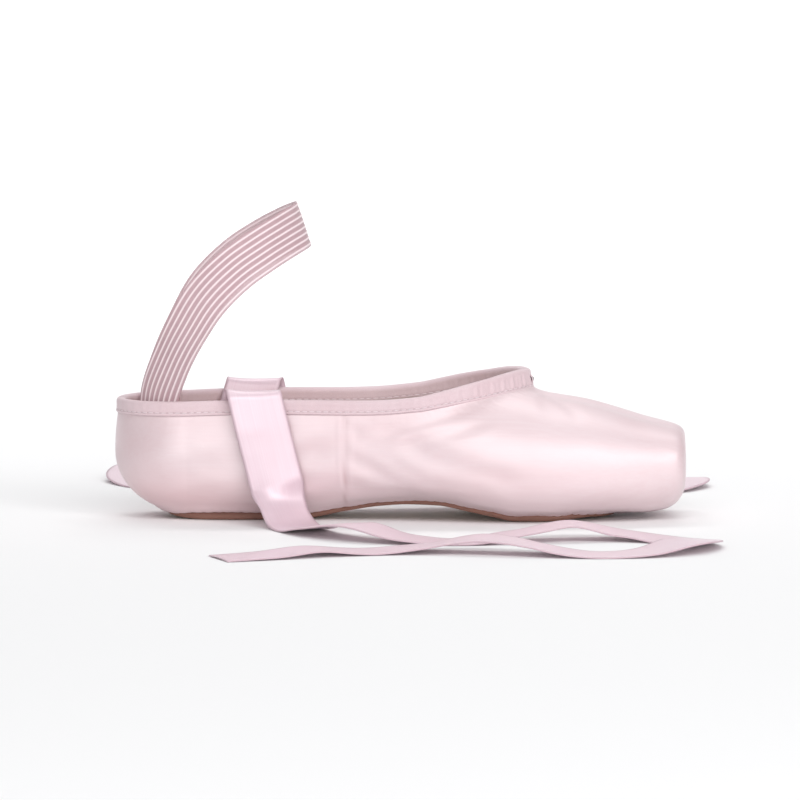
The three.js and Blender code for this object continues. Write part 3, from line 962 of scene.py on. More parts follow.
@dataclass(frozen=True)
class LeatherFinish(Finish):
    """Buffed sole leather with a dark cut edge and light rubbing at its two flat spots."""

    face: Colour
    shadow: Colour
    edge: Colour
    nap: Point = (320.0, 320.0, 320.0)
    cloud: Point = (28.0, 40.0, 40.0)
    pores: float = 900.0

    def material(self) -> bpy.types.Material:
        """Builds the leather.

        Returns:
            The material.
        """
        recipe = Recipe(self.name)
        nap = recipe.noise(self.nap, 6.0, 0.65)
        cloud = recipe.noise(self.cloud)
        buffed = recipe.mottle((cloud, 0.6), (nap, 0.5), (0.35, 0.75), (self.shadow, self.face))
        worn = recipe.math("MULTIPLY", recipe.mask("rubbed"), nap)
        recipe.set(
            Base_Color=recipe.blend(recipe.mask("edge"), recipe.blend(worn, buffed, self.shadow), self.edge),
            Roughness=recipe.remap(nap, 0.3, 0.7, 0.6, 0.9),
            Specular_IOR_Level=0.3,
        )
        recipe.bump((recipe.grain(self.pores), 0.05), (nap, 0.12))
        return recipe.material


@dataclass(frozen=True)
class ElasticFinish(Finish):
    """Thin ankle elastic: pale cords with a sheer, darker net between them."""

    cord: Colour
    net: Colour
    sheer: float = 0.66
    glint: float = 1.15
    fibre: Point = (700.0, 700.0, 700.0)

    def material(self) -> bpy.types.Material:
        """Builds the elastic.

        Returns:
            The material.
        """
        recipe = Recipe(self.name)
        cords = recipe.mask("cord")
        fibre = recipe.noise(self.fibre)
        net = recipe.blend(fibre, self.net, toned(self.net, self.glint))
        recipe.set(
            Base_Color=recipe.blend(cords, net, self.cord),
            Roughness=0.7,
            Alpha=recipe.remap(cords, 0.0, 0.6, self.sheer, 1.0),
            Sheen_Weight=0.3,
        )
        recipe.bump((fibre, 0.05))
        return recipe.material


@dataclass(frozen=True)
class RibbonFinish(Finish):
    """Satin ribbon with long glossy threads along it and a matt selvedge at each edge."""

    bright: Colour
    deep: Colour
    gloss: float = 0.38
    lustre: float = 0.2
    selvedge: float = 0.86
    threads: Point = (12.0, 1800.0, 1.0)
    cloth: Point = (30.0, 60.0, 1.0)

    def material(self) -> bpy.types.Material:
        """Builds the ribbon satin.

        Returns:
            The material.
        """
        recipe = Recipe(self.name)
        recipe.place = recipe.add("ShaderNodeUVMap", uv_map="laid").outputs["UV"]
        threads = recipe.noise(self.threads, 3.0, 0.6)
        cloth = recipe.noise(self.cloth, 2.0)
        woven = recipe.mottle((cloth, 0.4), (threads, 0.5), (0.25, 0.65), (self.deep, self.bright))
        edge = recipe.mask("selvedge")
        glossy = recipe.remap(threads, 0.3, 0.7, self.gloss, self.gloss + 0.1)
        recipe.set(
            Base_Color=recipe.blend(edge, woven, toned(self.deep, self.selvedge)),
            Roughness=recipe.math("MULTIPLY_ADD", edge, 0.3, glossy),
            Metallic=self.lustre,
            Specular_IOR_Level=1.0,
            Anisotropic=0.5,
            Coat_Weight=0.4,
            Coat_Roughness=0.3,
            Sheen_Weight=0.15,
            Sheen_Roughness=0.4,
            Sheen_Tint=(1.0, 0.93, 1.0, 1.0),
        )
        recipe.brush(direction_type="UV_MAP", uv_map="laid")
        recipe.bump((threads, 0.012), (cloth, 0.25))
        return recipe.material


@dataclass(frozen=True)
class ThreadFinish(Finish):
    """Thread or cord of one colour with a little mottling."""

    colour: Colour
    rough: float
    dusk: float = 0.85
    fleck: Point = (500.0, 500.0, 500.0)

    def material(self) -> bpy.types.Material:
        """Builds the thread.

        Returns:
            The material.
        """
        recipe = Recipe(self.name)
        fleck = recipe.noise(self.fleck)
        mottled = recipe.blend(fleck, self.colour, toned(self.colour, self.dusk))
        recipe.set(Base_Color=mottled, Roughness=self.rough)
        recipe.bump((fleck, 0.03))
        return recipe.material


# Its third colour is that of the painted shade.
SHOE_SATIN = SatinFinish(
    "shoe_satin", bright=(0.745, 0.605, 0.63), deep=(0.69, 0.505, 0.53), flushed=(0.59, 0.335, 0.35)
)
COLLAR_TAPE = ClothFinish(
    "collar_tape", bright=(0.71, 0.565, 0.595), deep=(0.63, 0.465, 0.495), pitch=0.4, rough=0.55
)
SHOE_LINING = ClothFinish("shoe_lining", bright=(0.86, 0.77, 0.71), deep=(0.78, 0.68, 0.61), pitch=0.6)
INSOLE_CLOTH = ClothFinish("insole_cloth", bright=(0.86, 0.79, 0.73), deep=(0.78, 0.70, 0.63), pitch=0.8)
SOLE_LEATHER = LeatherFinish(
    "sole_leather", face=(0.62, 0.46, 0.36), shadow=(0.44, 0.30, 0.22), edge=(0.30, 0.155, 0.12)
)
ANKLE_ELASTIC = ElasticFinish("ankle_elastic", cord=(0.90, 0.78, 0.80), net=(0.52, 0.35, 0.38))
RIBBON_SATIN = RibbonFinish("ribbon_satin", bright=(0.79, 0.64, 0.70), deep=(0.72, 0.53, 0.595))
THREAD = ThreadFinish("sewing_thread", colour=(0.86, 0.74, 0.77), rough=0.5)
# Near black: the knot's colour paints the shade inside the eyelet's hole.
SHADED_KNOT_CORD = ThreadFinish("drawstring_cord", colour=(0.09, 0.05, 0.055), rough=0.8)


def dress(piece: Piece, finish: Finish, slot: str, *nodes: str) -> None:
    """Gives a piece its finish and its place in the frame.

    Args:
        piece: the object.
        finish: its finish.
        slot: the record's material slot for the piece; not used.
        nodes: the frame's nodes that it stands for.
    """
    piece.data.materials.append(finish.material())
    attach(piece, ROOT)
    if nodes:
        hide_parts(*nodes)
    log.info("%s: %d points", piece.name, len(piece.data.vertices))


# ------------------------------------------------------------------------------------------------ upper


@dataclass(frozen=True)
class Crease:
    """A soft trough along a given line, or a ridge where its depth is below zero."""

    line: tuple[tuple[float, float], ...]
    depth: float
    width: float
    seen: Seen = Seen.FROM_SIDE
    sides: tuple[Side, ...] = (Side.NEAR, Side.FAR)
    lips: Swell = Swell(0.4, 1.7, math.sqrt(0.6))
    ends: float = 0.12
    growth: float = 4.0

    def relief(self, points: Array) -> Array:
        """Measures how far out the crease moves each point.

        Args:
            points: places on the upper, in mm from the heel.

        Returns:
            A number of mm for each point, below zero in the trough.
        """
        flat = points[..., list(self.seen.value)]
        nearest = np.full(flat.shape[:-1], np.inf)
        along = np.zeros(flat.shape[:-1])
        corners = np.asarray(self.line, float)
        starts = reach_along(corners)
        for a, b, begin, end in zip(corners, corners[1:], starts, starts[1:]):
            way = (b - a) / (end - begin)
            reach = np.clip((flat - a) @ way, 0, end - begin)
            gap = np.linalg.norm(flat - (a + reach[..., None] * way), axis=-1)
            closer = gap < nearest
            nearest = np.where(closer, gap, nearest)
            along = np.where(closer, (begin + reach) / starts[-1], along)
        fade = smooth(np.minimum(along, 1 - along) * self.growth + self.ends)
        near = nearest / self.width
        on_side = np.zeros(flat.shape[:-1], bool)
        for side in self.sides:
            on_side |= points[..., 1] * side.value >= 0
        return np.where(on_side, self.depth * (self.lips(near) - hill(near, 0, 1)) * fade, 0.0)


UPPER_CREASES = (
    # Drawn from the throat's corner, down and back along the binding.
    Crease(((157, 50.0), (140, 45.6), (122, 41.0), (106, 37.6)), 0.55, 2.6),
    Crease(((160, 47.0), (146, 41.0), (130, 35.6), (114, 31.0)), 0.4, 3.2),
    Crease(((150, 51.5), (136, 48.2), (122, 44.2), (112, 42.4)), 0.3, 1.6),
    # The quarter, behind the side seam.
    Crease(((90, 33), (78, 27), (64, 19), (52, 12)), 0.7, 4.6, sides=(Side.NEAR,)),
    Crease(((84, 20), (70, 13), (58, 8)), 0.55, 3.6, sides=(Side.NEAR,)),
    Crease(((44, 27), (32, 21), (20, 18), (10, 20)), 0.5, 4.6, sides=(Side.NEAR,)),
    Crease(((44, 38), (60, 40.5), (76, 39)), 0.25, 3.2, sides=(Side.NEAR,)),
    Crease(((2, 30), (18, 29), (38, 31), (58, 35)), -0.4, 6.0),
    Crease(((12, 12), (28, 12.5), (44, 14)), 0.35, 5.0),
    Crease(((88, 36), (74, 30), (58, 25), (46, 17)), 0.6, 4.2, sides=(Side.FAR,)),
    Crease(((80, 16), (66, 11), (54, 9)), 0.45, 3.2, sides=(Side.FAR,)),
    Crease(((40, 24), (28, 19), (16, 19)), 0.45, 4.2, sides=(Side.FAR,)),
    # The waist, where the shoe bends over the arch.
    Crease(((100, 26), (112, 19), (124, 12), (131, 9)), 0.35, 2.8, sides=(Side.NEAR,)),
    Crease(((106, 14), (118, 11.5), (134, 11), (150, 9)), 0.4, 2.2),
    Crease(((112, 24), (128, 18), (146, 14.5), (160, 10)), 0.35, 3.2),
    Crease(((116, 33), (132, 27), (150, 21), (170, 17)), 0.6, 4.8, sides=(Side.NEAR,)),
    Crease(((114, 30), (132, 26), (150, 24), (166, 18)), 0.55, 4.6, sides=(Side.FAR,)),
    # The vamp and the wings of the box.
    Crease(((178, 8), (186, 19), (190, 29)), 0.22, 3.0, Seen.FROM_ABOVE),
    Crease(((178, -8), (187, -20), (192, -30)), 0.25, 3.0, Seen.FROM_ABOVE),
    Crease(((168, 0), (190, 0.4), (214, -0.2), (240, 0)), -0.75, 4.6, Seen.FROM_ABOVE),
)


@dataclass
class Upper:
    """The satin upper with its lining: side seams, pleats under the toe and soft creases.

    A span holds four places, where something begins, is full, begins to fade and ends. Those of the pleats,
    the gathers and the roll are distances up from the sole's edge.
    """

    last: Last
    fine: Collar
    coarse: Collar
    rows: int = 112
    skin: float = 0.7
    wall: float = 1.6
    # The creases, and how far below the collar's lower line they begin and are full.
    creases: Sequence[Crease] = UPPER_CREASES
    creases_from: tuple[float, float] = (0.4, 4.4)
    # The satin's standing band under the tape.
    band_rows: Sequence[float] = (1.0, 0.75, 0.5, 0.25)
    band_back_rows: Sequence[float] = (1.0, 0.4)
    band_below: float = 1.15
    back_step: int = 5
    fillet: int = 3
    fillet_rounds: int = 5
    # The pleats under the toe, the lesser gathers elsewhere, and the satin's roll over the sole's edge.
    pleat_pitch: float = 3.7
    pleat_sway: float = 0.25
    pleat_drift: float = 0.9
    pleat_height: float = 0.95
    pleat_level: float = 0.72
    pleat_roundness: float = 0.55
    pleat_valley: float = 0.45
    pleat_shade: float = 1.5
    pleats_from: tuple[float, float] = (168.0, 190.0)
    pleat_span: Span = (-3.5, -0.5, 5.0, 18.0)
    gather_height: float = 0.22
    gather_span: Span = (-3.5, -0.5, 1.5, 7.5)
    roll_height: float = 0.85
    roll_span: Span = (0.1, 1.7, 2.4, 7.4)
    # The side seam: its groove, the lips beside it, and the fuller satin in front.
    seam_from_heel: float = 95.0
    seam_groove: Swell = Swell(-0.42, 0.0, 0.55)
    seam_lips: Swell = Swell(0.2, 1.7, 1.0)
    seam_fullness: Swell = Swell(0.28, 4.5, 3.0)
    seam_puckers: Wave = Wave(0.55, 0.6)
    seam_shade: Swell = Swell(0.5, 0.0, 0.5)
    seam_clear: tuple[float, float] = (0.2, 1.7)
    # The small gathers that the drawstring draws below the tape, and how far down they start and die away.
    drawn: float = 0.06
    drawn_at_throat: float = 0.13
    drawn_start: float = 1.2
    drawn_depth: float = 4.0
    drawn_waves: tuple[Wave, Wave] = (Wave(1.55, sway=1.3, drift=0.31), Wave(0.62, 0.8))
    # Painted shade on the satin, low round the heel and by the ball: each patch by height, and where along
    # the shoe it pales and ends.
    heel_flush: Swell = Swell(0.42, 9.0, 8.5)
    heel_flush_slope: float = 0.05
    heel_flush_paled: float = 0.75
    heel_flush_pales: tuple[float, float] = (35.0, 90.0)
    heel_flush_ends: tuple[float, float] = (88.0, 102.0)
    ball_flush: Swell = Swell(0.2, 17.0, 8.0)
    ball_flush_along: Swell = Swell(1.0, 150.0, 22.0)
    # The lining: its rows, how deep in the wall its back lies, and its room below the tape.
    lining_rows: int = 44
    lining_back_rows: int = 30
    lining_band_rows: Sequence[float] = (1.0, 0.66, 0.33)
    lining_below: float = 1.2
    lining_gap: float = 0.25
    lining_back: float = 0.62
    lining_back_start: float = 0.9

    def build(self) -> None:
        """Builds the satin and the lining, and dresses them."""
        dress(self._satin(), SHOE_SATIN, "satin", "upper")
        dress(self._lining(), SHOE_LINING, "insole_canvas", "upper")

    def _pleats(self, body: Array, rise: Array) -> tuple[Array, Array]:
        """Folds the satin into pleats round the edge under the foot.

        Args:
            body: the outer face, lines by rows.
            rise: each point's distance from the edge under the foot.

        Returns:
            How far out each point moves, and how dark the folds are, from 0 to 1.
        """
        under = body[:, -1]
        reach = reach_along(under)
        beat = Wave(math.pi / self.pleat_pitch, sway=self.pleat_sway, drift=self.pleat_drift)
        wave = np.abs(beat(reach[-1] - reach))
        at_toe = ramp(under[:, 0], *self.pleats_from)[:, None]
        shown = rise - self.fine.lasting_margin
        pleats = self.pleat_height * window(shown, *self.pleat_span)
        gathers = self.gather_height * window(shown, *self.gather_span)
        strength = at_toe * pleats + (1 - at_toe) * gathers
        fold = wave**self.pleat_roundness - self.pleat_level
        dark = self.pleat_shade * np.maximum(self.pleat_valley - wave, 0)
        roll = self.roll_height * window(shown, *self.roll_span)
        return fold[:, None] * strength + roll, dark[:, None] * strength

    def _seam(self, body: Array, drop: Array) -> tuple[Array, Array]:
        """Sinks the side seam and puckers the satin beside it.

        Args:
            body: the outer face, lines by rows.
            drop: each point's distance from the collar's lower line.

        Returns:
            How far out each point moves, and how dark the seam is, from 0 to 1.
        """
        gap = body[..., 0] - self.seam_from_heel
        puckers = self.seam_fullness(gap) * self.seam_puckers(drop)
        relief = self.seam_groove(gap) + self.seam_lips(np.abs(gap)) + puckers
        return relief * ramp(drop, *self.seam_clear), self.seam_shade(gap)

    def _gathers(self, drop: Array) -> Array:
        """Draws small gathers below the tape, strongest round the throat.

        Args:
            drop: each point's distance from the collar's lower line.

        Returns:
            How far out each point moves.
        """
        reach = reach_along(self.fine.foot)
        first, second = self.drawn_waves
        strength = self.drawn + self.drawn_at_throat * self.fine.to_throat
        along = first(reach) * second(reach) * strength
        return along[:, None] * np.exp(-drop / self.drawn_depth) * ramp(drop, 0, self.drawn_start)

    def _handled(self, body: Array) -> Array:
        """Gives how much shade is painted on the satin: low round the heel, and by the ball.

        Args:
            body: the outer face, lines by rows.

        Returns:
            A share from 0 to 1 for each point.
        """
        x, z = body[..., 0], body[..., 2]
        left = 1 - self.heel_flush_paled * ramp(x, *self.heel_flush_pales)
        heel = self.heel_flush(z - self.heel_flush_slope * x) * left * (1 - ramp(x, *self.heel_flush_ends))
        return heel + self.ball_flush(z) * self.ball_flush_along(x)

    def _satin(self) -> Piece:
        """Builds the satin skin as a closed sheet.

        Returns:
            The satin.
        """
        fine = self.fine
        body = fine.profile(fine.foot, 0.0, self.rows)
        normals = self.last.normal(body)
        drop = np.stack([reach_along(line) for line in body])
        pleats, pleat_shade = self._pleats(body, drop[:, -1:] - drop)
        seam, seam_shade = self._seam(body, drop)
        folds = pleats + seam + self._gathers(drop)
        band = fine.up_band(0.0, self.band_rows, self.band_below)
        halves = []
        for side in (Side.FAR, Side.NEAR):
            turn = np.array([1, side.value, 1])
            creased = sum(crease.relief(body * turn) for crease in self.creases)
            relief = folds + creased * ramp(drop, *self.creases_from)
            outer = np.concatenate([band, body + normals * relief[..., None]], axis=1)
            halves.append(self._filleted(outer, band.shape[1]) * turn)
        loop = np.concatenate([halves[0], halves[1][1:-1][::-1]], axis=0)
        sheet = np.concatenate([loop, mirrored(self._back(body))[:, ::-1]], axis=1)
        piece = grid_mesh("satin_upper", sheet, True)
        shade = np.clip(pleat_shade + seam_shade, 0, 1)
        # Painted shade for the satin: in the pleats and at the seam, and low round the heel and by the ball.
        for name, share in (("shade", shade), ("handled", self._handled(body))):
            values = np.zeros(sheet.shape[:2])
            values[:, band.shape[1] : loop.shape[1]] = mirrored(share, 1.0)
            mask(piece, name, values)
        return piece

    def _filleted(self, lines: Array, corner: int) -> Array:
        """Rounds the inside corner between the vamp and the standing band.

        Args:
            lines: the outer face with its band, lines by rows.
            corner: the row at the corner.

        Returns:
            The same lines with the corner rounded.
        """
        out = lines.copy()
        first, after = corner + 1 - self.fillet, corner + 2 + self.fillet
        for _ in range(self.fillet_rounds):
            before, here, beyond = (out[:, first + step : after + step] for step in (-1, 0, 1))
            out[:, first:after] = (before + 2 * here + beyond) / 4
        return out

    def _back(self, body: Array) -> Array:
        """Runs the back of the satin, just inside its outer face.

        Args:
            body: the outer face, lines by rows.

        Returns:
            The back's points, lines by rows.
        """
        band = self.fine.up_band(-self.skin, self.band_back_rows, self.band_below)
        chosen = [*range(1, self.rows - 1, self.back_step), self.rows - 1]
        face = body[:, chosen]
        return np.concatenate([band, face - self.last.normal(face) * self.skin], axis=1)

    def _lining(self) -> Piece:
        """Builds the lining as a closed sheet on the wall's inner face.

        Returns:
            The lining.
        """
        line = self.coarse
        normal = self.last.normal(line.foot)
        share = self.wall / (1 + np.sum(normal * line.outward, axis=1, keepdims=True))
        start = line.foot - (normal + line.outward) * share
        inner = line.profile(start, 1.0, self.lining_rows)
        inner[:, 0] = start
        back_start = line.foot - line.outward * self.lining_back_start
        back = line.profile(back_start, self.lining_back, self.lining_back_rows)
        face = line.up_band(-self.wall, self.lining_band_rows, self.lining_below)
        behind = line.up_band(-self.skin - self.lining_gap, self.lining_band_rows, self.lining_below)
        up = np.concatenate([behind, back], axis=1)[:, ::-1]
        sheet = mirrored(np.concatenate([face, inner, up], axis=1))
        piece = grid_mesh("upper_lining", sheet, True)
        mask(piece, "shade", np.zeros(sheet.shape[:2]))
        return piece


# ---------------------------------------------------------------------------------------------- binding


@dataclass
class Binding:
    """The collar's tape folded over the edge, its drawstring inside, and its line of stitches."""

    collar: Collar
    wall: float = 1.6
    # The small puckers that the drawstring draws: how strong, where up the tape, and their two waves.
    pucker: float = 0.07
    throat_pucker: float = 0.16
    pucker_inside: float = -0.6
    pucker_up: Swell = Swell(1.0, 3.4, 2.4)
    pucker_wave: Wave = Wave(1.35, sway=0.9, drift=0.23)
    small_pucker: float = 0.6
    small_pucker_wave: Wave = Wave(2.3, 1.0)
    groove_shade: float = 0.3
    # The stitches: their length, the gap between two, their height on the tape and their thread.
    stitch: float = 2.0
    stitch_gap: float = 0.9
    stitch_height: float = 1.25
    stitch_out: float = 0.72
    stitch_in: float = 0.78
    thread: float = 0.2
    sides: int = 8
    # The worked eyelet in front of the throat and the drawstring's knot.
    eyelet_height: float = 4.2
    eyelet_out: float = 1.02
    eyelet_aside: float = -1.6
    eyelet_radius: float = 1.15
    eyelet_thread: float = 0.32
    knot_radius: float = 0.42
    knot_cord: float = 0.42
    knot_turns: float = 2.0
    knot_rise: float = 0.25
    knot_sunk: float = 0.05

    def build(self) -> None:
        """Builds the tape, the stitches, and the drawstring's eyelet and knot."""
        dress(self._tape(), COLLAR_TAPE, "binding_tape", "binding")
        dress(self._stitches(), THREAD, "binding_tape")
        self._eyelet()

    def _section(self) -> Array:
        """Gives the tape's folded section.

        Returns:
            A row for each point: how far out, how far up, and 1 where up counts from the band's top.
        """
        middle, inner = -self.wall / 2, -self.wall
        corners = np.array([
            # The turned hem outside, with the groove that its stitches press.
            (0.12, 0.30, 0), (0.50, 0.02, 0), (0.86, 0.30, 0), (0.84, 0.85, 0), (0.55, 1.25, 0),
            (0.82, 1.75, 0),
            # Up, over the edge and down inside.
            (0.92, -2.9, 1), (1.12, -1.7, 1), (0.98, -0.7, 1), (0.35, -0.08, 1), (middle, 0.04, 1),
            (inner - 0.35, -0.08, 1), (inner - 0.98, -0.7, 1), (inner - 1.12, -1.7, 1),
            (inner - 0.92, -2.9, 1),
            # The hem inside.
            (inner - 0.85, 1.75, 0), (inner - 0.60, 1.25, 0), (inner - 0.85, 0.85, 0),
            (inner - 0.5, 0.4, 0),
            # Back up, over and down along the wall.
            (inner - 0.15, 0.7, 0), (inner - 0.15, -1.4, 1), (middle, -0.75, 1), (0.12, -1.4, 1),
        ])
        before, after, beyond = (np.roll(corners, step, axis=0) for step in (1, -1, -2))
        between = (9 * (corners + after) - before - beyond) / 16
        return np.stack([corners, between], axis=1).reshape(-1, 3)

    def _tape(self) -> Piece:
        """Builds the folded tape, with the small puckers that the drawstring draws in it.

        Returns:
            The tape.
        """
        collar, section = self.collar, self._section()
        reach = reach_along(collar.foot)
        wave = self.pucker_wave(reach) + self.small_pucker * self.small_pucker_wave(reach)
        puckers = wave * (self.pucker + self.throat_pucker * collar.to_throat)
        rings = []
        for out, up, from_top in section:
            height = collar.height * from_top + up
            pushed = puckers * self.pucker_up(height)
            if out <= -self.wall / 2:
                pushed *= self.pucker_inside
            rings.append(collar.on_band(out + pushed, height))
        sheet = mirrored(np.stack(rings, axis=1))
        piece = grid_mesh("collar_binding", sheet, True)
        groove = (section[:, 2] < 0.3) & (section[:, 1] > 1.0) & (section[:, 1] < 1.6)
        mask(piece, "shade", np.broadcast_to(self.groove_shade * groove, sheet.shape[:2]))
        return piece

    def _stitches(self) -> Piece:
        """Sews the line of stitches along the tape's lower edge, outside and inside.

        Returns:
            The stitches.
        """
        runs = []
        pitch = self.stitch + self.stitch_gap
        for out in (self.stitch_out, -self.wall - self.stitch_in):
            half = self.collar.on_band(out, self.stitch_height)
            loop = np.vstack([mirrored(half), half[:1]])
            begins = np.arange(0, reach_along(loop)[-1] - pitch, pitch)
            lines = points_at(loop, begins[:, None] + np.linspace(0, self.stitch, 5))
            runs += [(line, self.thread) for line in lines]
        return tubes("binding_stitches", runs)

    def _eyelet(self) -> None:
        """Puts the drawstring's knotted end in its worked eyelet at the front of the throat."""
        collar = self.collar
        outward, up = collar.outward[-1], collar.up[-1]
        across = np.cross(outward, up)
        front = collar.foot[-1] + up * self.eyelet_height + outward * self.eyelet_out
        front = front + [0, self.eyelet_aside, 0]
        ring = front + self.eyelet_radius * circle(np.linspace(0, 2 * math.pi, 25), across, up)
        worked = tubes("drawstring_eyelet", [(ring, self.eyelet_thread)], self.sides)
        dress(worked, THREAD, "binding_tape")
        # The knot is near black: its colour paints the shade inside the eyelet's hole.
        turns = np.linspace(0, 2 * math.pi * self.knot_turns, 40)
        rise = self.knot_rise * np.sin(turns / 2)[:, None] - self.knot_sunk
        knot = front + self.knot_radius * circle(turns, across, up) + outward * rise
        tied = tubes("drawstring_knot", [(knot, self.knot_cord)], self.sides)
        dress(tied, SHADED_KNOT_CORD, "binding_tape")


# ------------------------------------------------------------------------------------------------ soles


@dataclass(frozen=True)
class RoundEnd:
    """The round end of a sole: a quarter ellipse on each side of the middle."""

    half_width: float
    centre: float
    length: float

    def __call__(self, x: Array) -> Array:
        """Gives the half width at places from the heel."""
        return self.half_width * np.sqrt(np.clip(1 - ((x - self.centre) / self.length) ** 2, 0, 1))


@dataclass
class Plate:
    """A thin sheet across the shoe, such as a sole: its stations, its outline and its two faces."""

    stations: Array
    half: Callable[[Array], Array]
    top: Callable[[Array, Array], Array]
    bottom: Callable[[Array, Array], Array]
    bevel: float
    columns: int = 31
    least_half: float = 0.35
    least_foot: float = 0.3
    edge_height: float = 0.45
    edge_bulge: float = 0.35
    edge_band: float = 0.93
    end_band: float = 1.6

    def grid(self) -> tuple[Array, Array]:
        """Works out the plate's closed grid of points.

        Returns:
            The points, and for each how near it is to the cut edge, from 0 to 1.
        """
        stations, share = self.stations, np.sin(np.linspace(-1, 1, self.columns) * math.pi / 2)
        x = np.repeat(stations[:, None], self.columns, axis=1)
        half = np.maximum(self.half(stations), self.least_half)[:, None]
        top_y, bottom_y = half * share, np.maximum(half - self.bevel, self.least_foot) * share
        top = np.stack([x, top_y, self.top(x, top_y)], axis=-1)
        bottom = np.stack([x, bottom_y, self.bottom(x, bottom_y)], axis=-1)
        edges = self.edge_height * top[:, [0, -1]] + (1 - self.edge_height) * bottom[:, [0, -1]]
        edges[..., 1] += [-self.edge_bulge * self.bevel, self.edge_bulge * self.bevel]
        grid = np.concatenate([top, edges[:, 1:], bottom[:, ::-1], edges[:, :1]], axis=1)
        near_side = ramp(np.abs(share), self.edge_band, 1.0)
        near_end = ramp(np.minimum(stations - stations[0], stations[-1] - stations), self.end_band, 0)
        near = np.maximum(near_side[None, :], near_end[:, None])
        full = np.ones((len(x), 1))
        return grid, np.concatenate([near, full, near[:, ::-1], full], axis=1)


def stations_between(first: float, final: float, count: int, crowding: float = 1.6) -> Array:
    """Sets stations along a sole, closer together at its two round ends.

    Args:
        first: the first station, from the heel.
        final: the last one.
        count: how many.
        crowding: how much closer they are at the ends, where 1 is not at all.

    Returns:
        The stations.
    """
    share = np.linspace(-1, 1, count)
    eased = np.sign(share) * (1 - (1 - np.abs(share)) ** crowding)
    return first + (final - first) * (eased + 1) / 2


@dataclass
class Outsole:
    """The leather sole, pared at its ends, with a flat spot at the heel and another under the ball."""

    last: Last
    collar: Collar
    gap: float = 0.5
    sunk: float = 0.12
    thickness: float = 1.6
    end_thickness: float = 1.0
    back: float = 21.0
    tip: float = 206.0
    inset: float = 0.05
    pared_back: float = 14.0
    pared_tip: float = 26.0
    round_back: RoundEnd = RoundEnd(15.2, 36.0, 15.0)
    round_tip: RoundEnd = RoundEnd(17.6, 194.6, 11.4)
    back_to: float = 32.0
    back_spare: float = 0.6
    tip_from: float = 195.0
    bevel: float = 0.8
    turn_up: float = 0.35
    turn_up_from: float = 0.86
    heel_spot: Swell = Swell(0.7, 56.0, 18.0)
    ball_spot: Swell = Swell(0.7, 172.0, 16.0)
    spot_height: float = 0.5
    station_count: int = 190

    def build(self) -> None:
        """Builds the sole, with its cut edge and its rubbed spots marked, and dresses it."""
        stations = stations_between(self.back + self.inset, self.tip - self.inset, self.station_count)
        grid, edge = Plate(stations, self._half, self._top, self._bottom, self.bevel).grid()
        piece = grid_mesh("leather_outsole", grid, False)
        mask(piece, "edge", edge)
        x, height = grid[..., 0], grid[..., 2]
        rubbed = np.minimum(self.heel_spot(x) + self.ball_spot(x), self.heel_spot.height)
        mask(piece, "rubbed", (height < self.spot_height) * rubbed)
        dress(piece, SOLE_LEATHER, "sole_leather", "outsole")

    def _thickness(self, x: Array) -> Array:
        """Gives the leather's thickness, which is pared down at both ends."""
        ends = np.minimum((x - self.back) / self.pared_back, (self.tip - x) / self.pared_tip)
        return self.end_thickness + (self.thickness - self.end_thickness) * smooth(ends)

    def _half(self, x: Array) -> Array:
        """Gives the outline, with round ends.

        Args:
            x: places from the heel.

        Returns:
            The half width at each place.
        """
        outline = self.collar.sole_half(x)
        heel = np.minimum(outline + self.back_spare, self.round_back(x))
        return np.where(x < self.back_to, heel, np.where(x > self.tip_from, self.round_tip(x), outline))

    def _top(self, x: Array, y: Array) -> Array:
        """Gives the height of the upper face, which follows the upper."""
        return self.last.underside(x, y) - self.gap + self.sunk

    def _bottom(self, x: Array, y: Array) -> Array:
        """Gives the height of the worn face, which turns up a little at its edge."""
        ground = np.maximum(self.last.underside(x, 0 * y) - self.gap - self._thickness(x), 0)
        return ground + self.turn_up * ramp(np.abs(y) / self._half(x), self.turn_up_from, 1.0)


@dataclass
class Insole:
    """The cloth-covered insole, which is cupped like the last's underside."""

    last: Last
    back: float = 12.0
    tip: float = 205.0
    inset: float = 0.1
    round_back: float = 20.0
    round_tip: float = 26.0
    width_share: float = 0.74
    clearance: float = 0.3
    lift: float = 0.5
    thickness: float = 1.6
    edge_from: float = 0.9
    edge_thinned: float = 0.45
    edge_shade: float = 0.35
    bevel: float = 0.3
    station_count: int = 120

    def build(self) -> None:
        """Builds the insole and dresses it."""
        stations = stations_between(self.back + self.inset, self.tip - self.inset, self.station_count)
        grid, edge = Plate(stations, self._half, self._top, self._bottom, self.bevel).grid()
        piece = grid_mesh("cloth_insole", grid, False)
        mask(piece, "shade", edge * self.edge_shade)
        dress(piece, INSOLE_CLOTH, "insole_canvas", "insole")

    def _half(self, x: Array) -> Array:
        """Gives the outline, with round ends.

        Args:
            x: places from the heel.

        Returns:
            The half width at each place.
        """
        ends = np.minimum((x - self.back) / self.round_back, (self.tip - x) / self.round_tip)
        rounded = np.sqrt(1 - (1 - np.clip(ends, 0, 1)) ** 2)
        return self.width_share * self.last.read("half_width", x) * rounded

    def _bottom(self, x: Array, y: Array) -> Array:
        """Gives the height of the underside, just clear of the lining."""
        return self.last.underside(x, y, 1.0) + self.clearance

    def _top(self, x: Array, y: Array) -> Array:
        """Gives the height of the face that the foot rests on, soft at the edge."""
        edge = ramp(np.abs(y) / np.maximum(self._half(x), 0.5), self.edge_from, 1.0)
        return self.last.underside(x, y, 1.0) + self.lift + self.thickness * (1 - self.edge_thinned * edge)


# ------------------------------------------------------------------------------------ elastic and ribbons


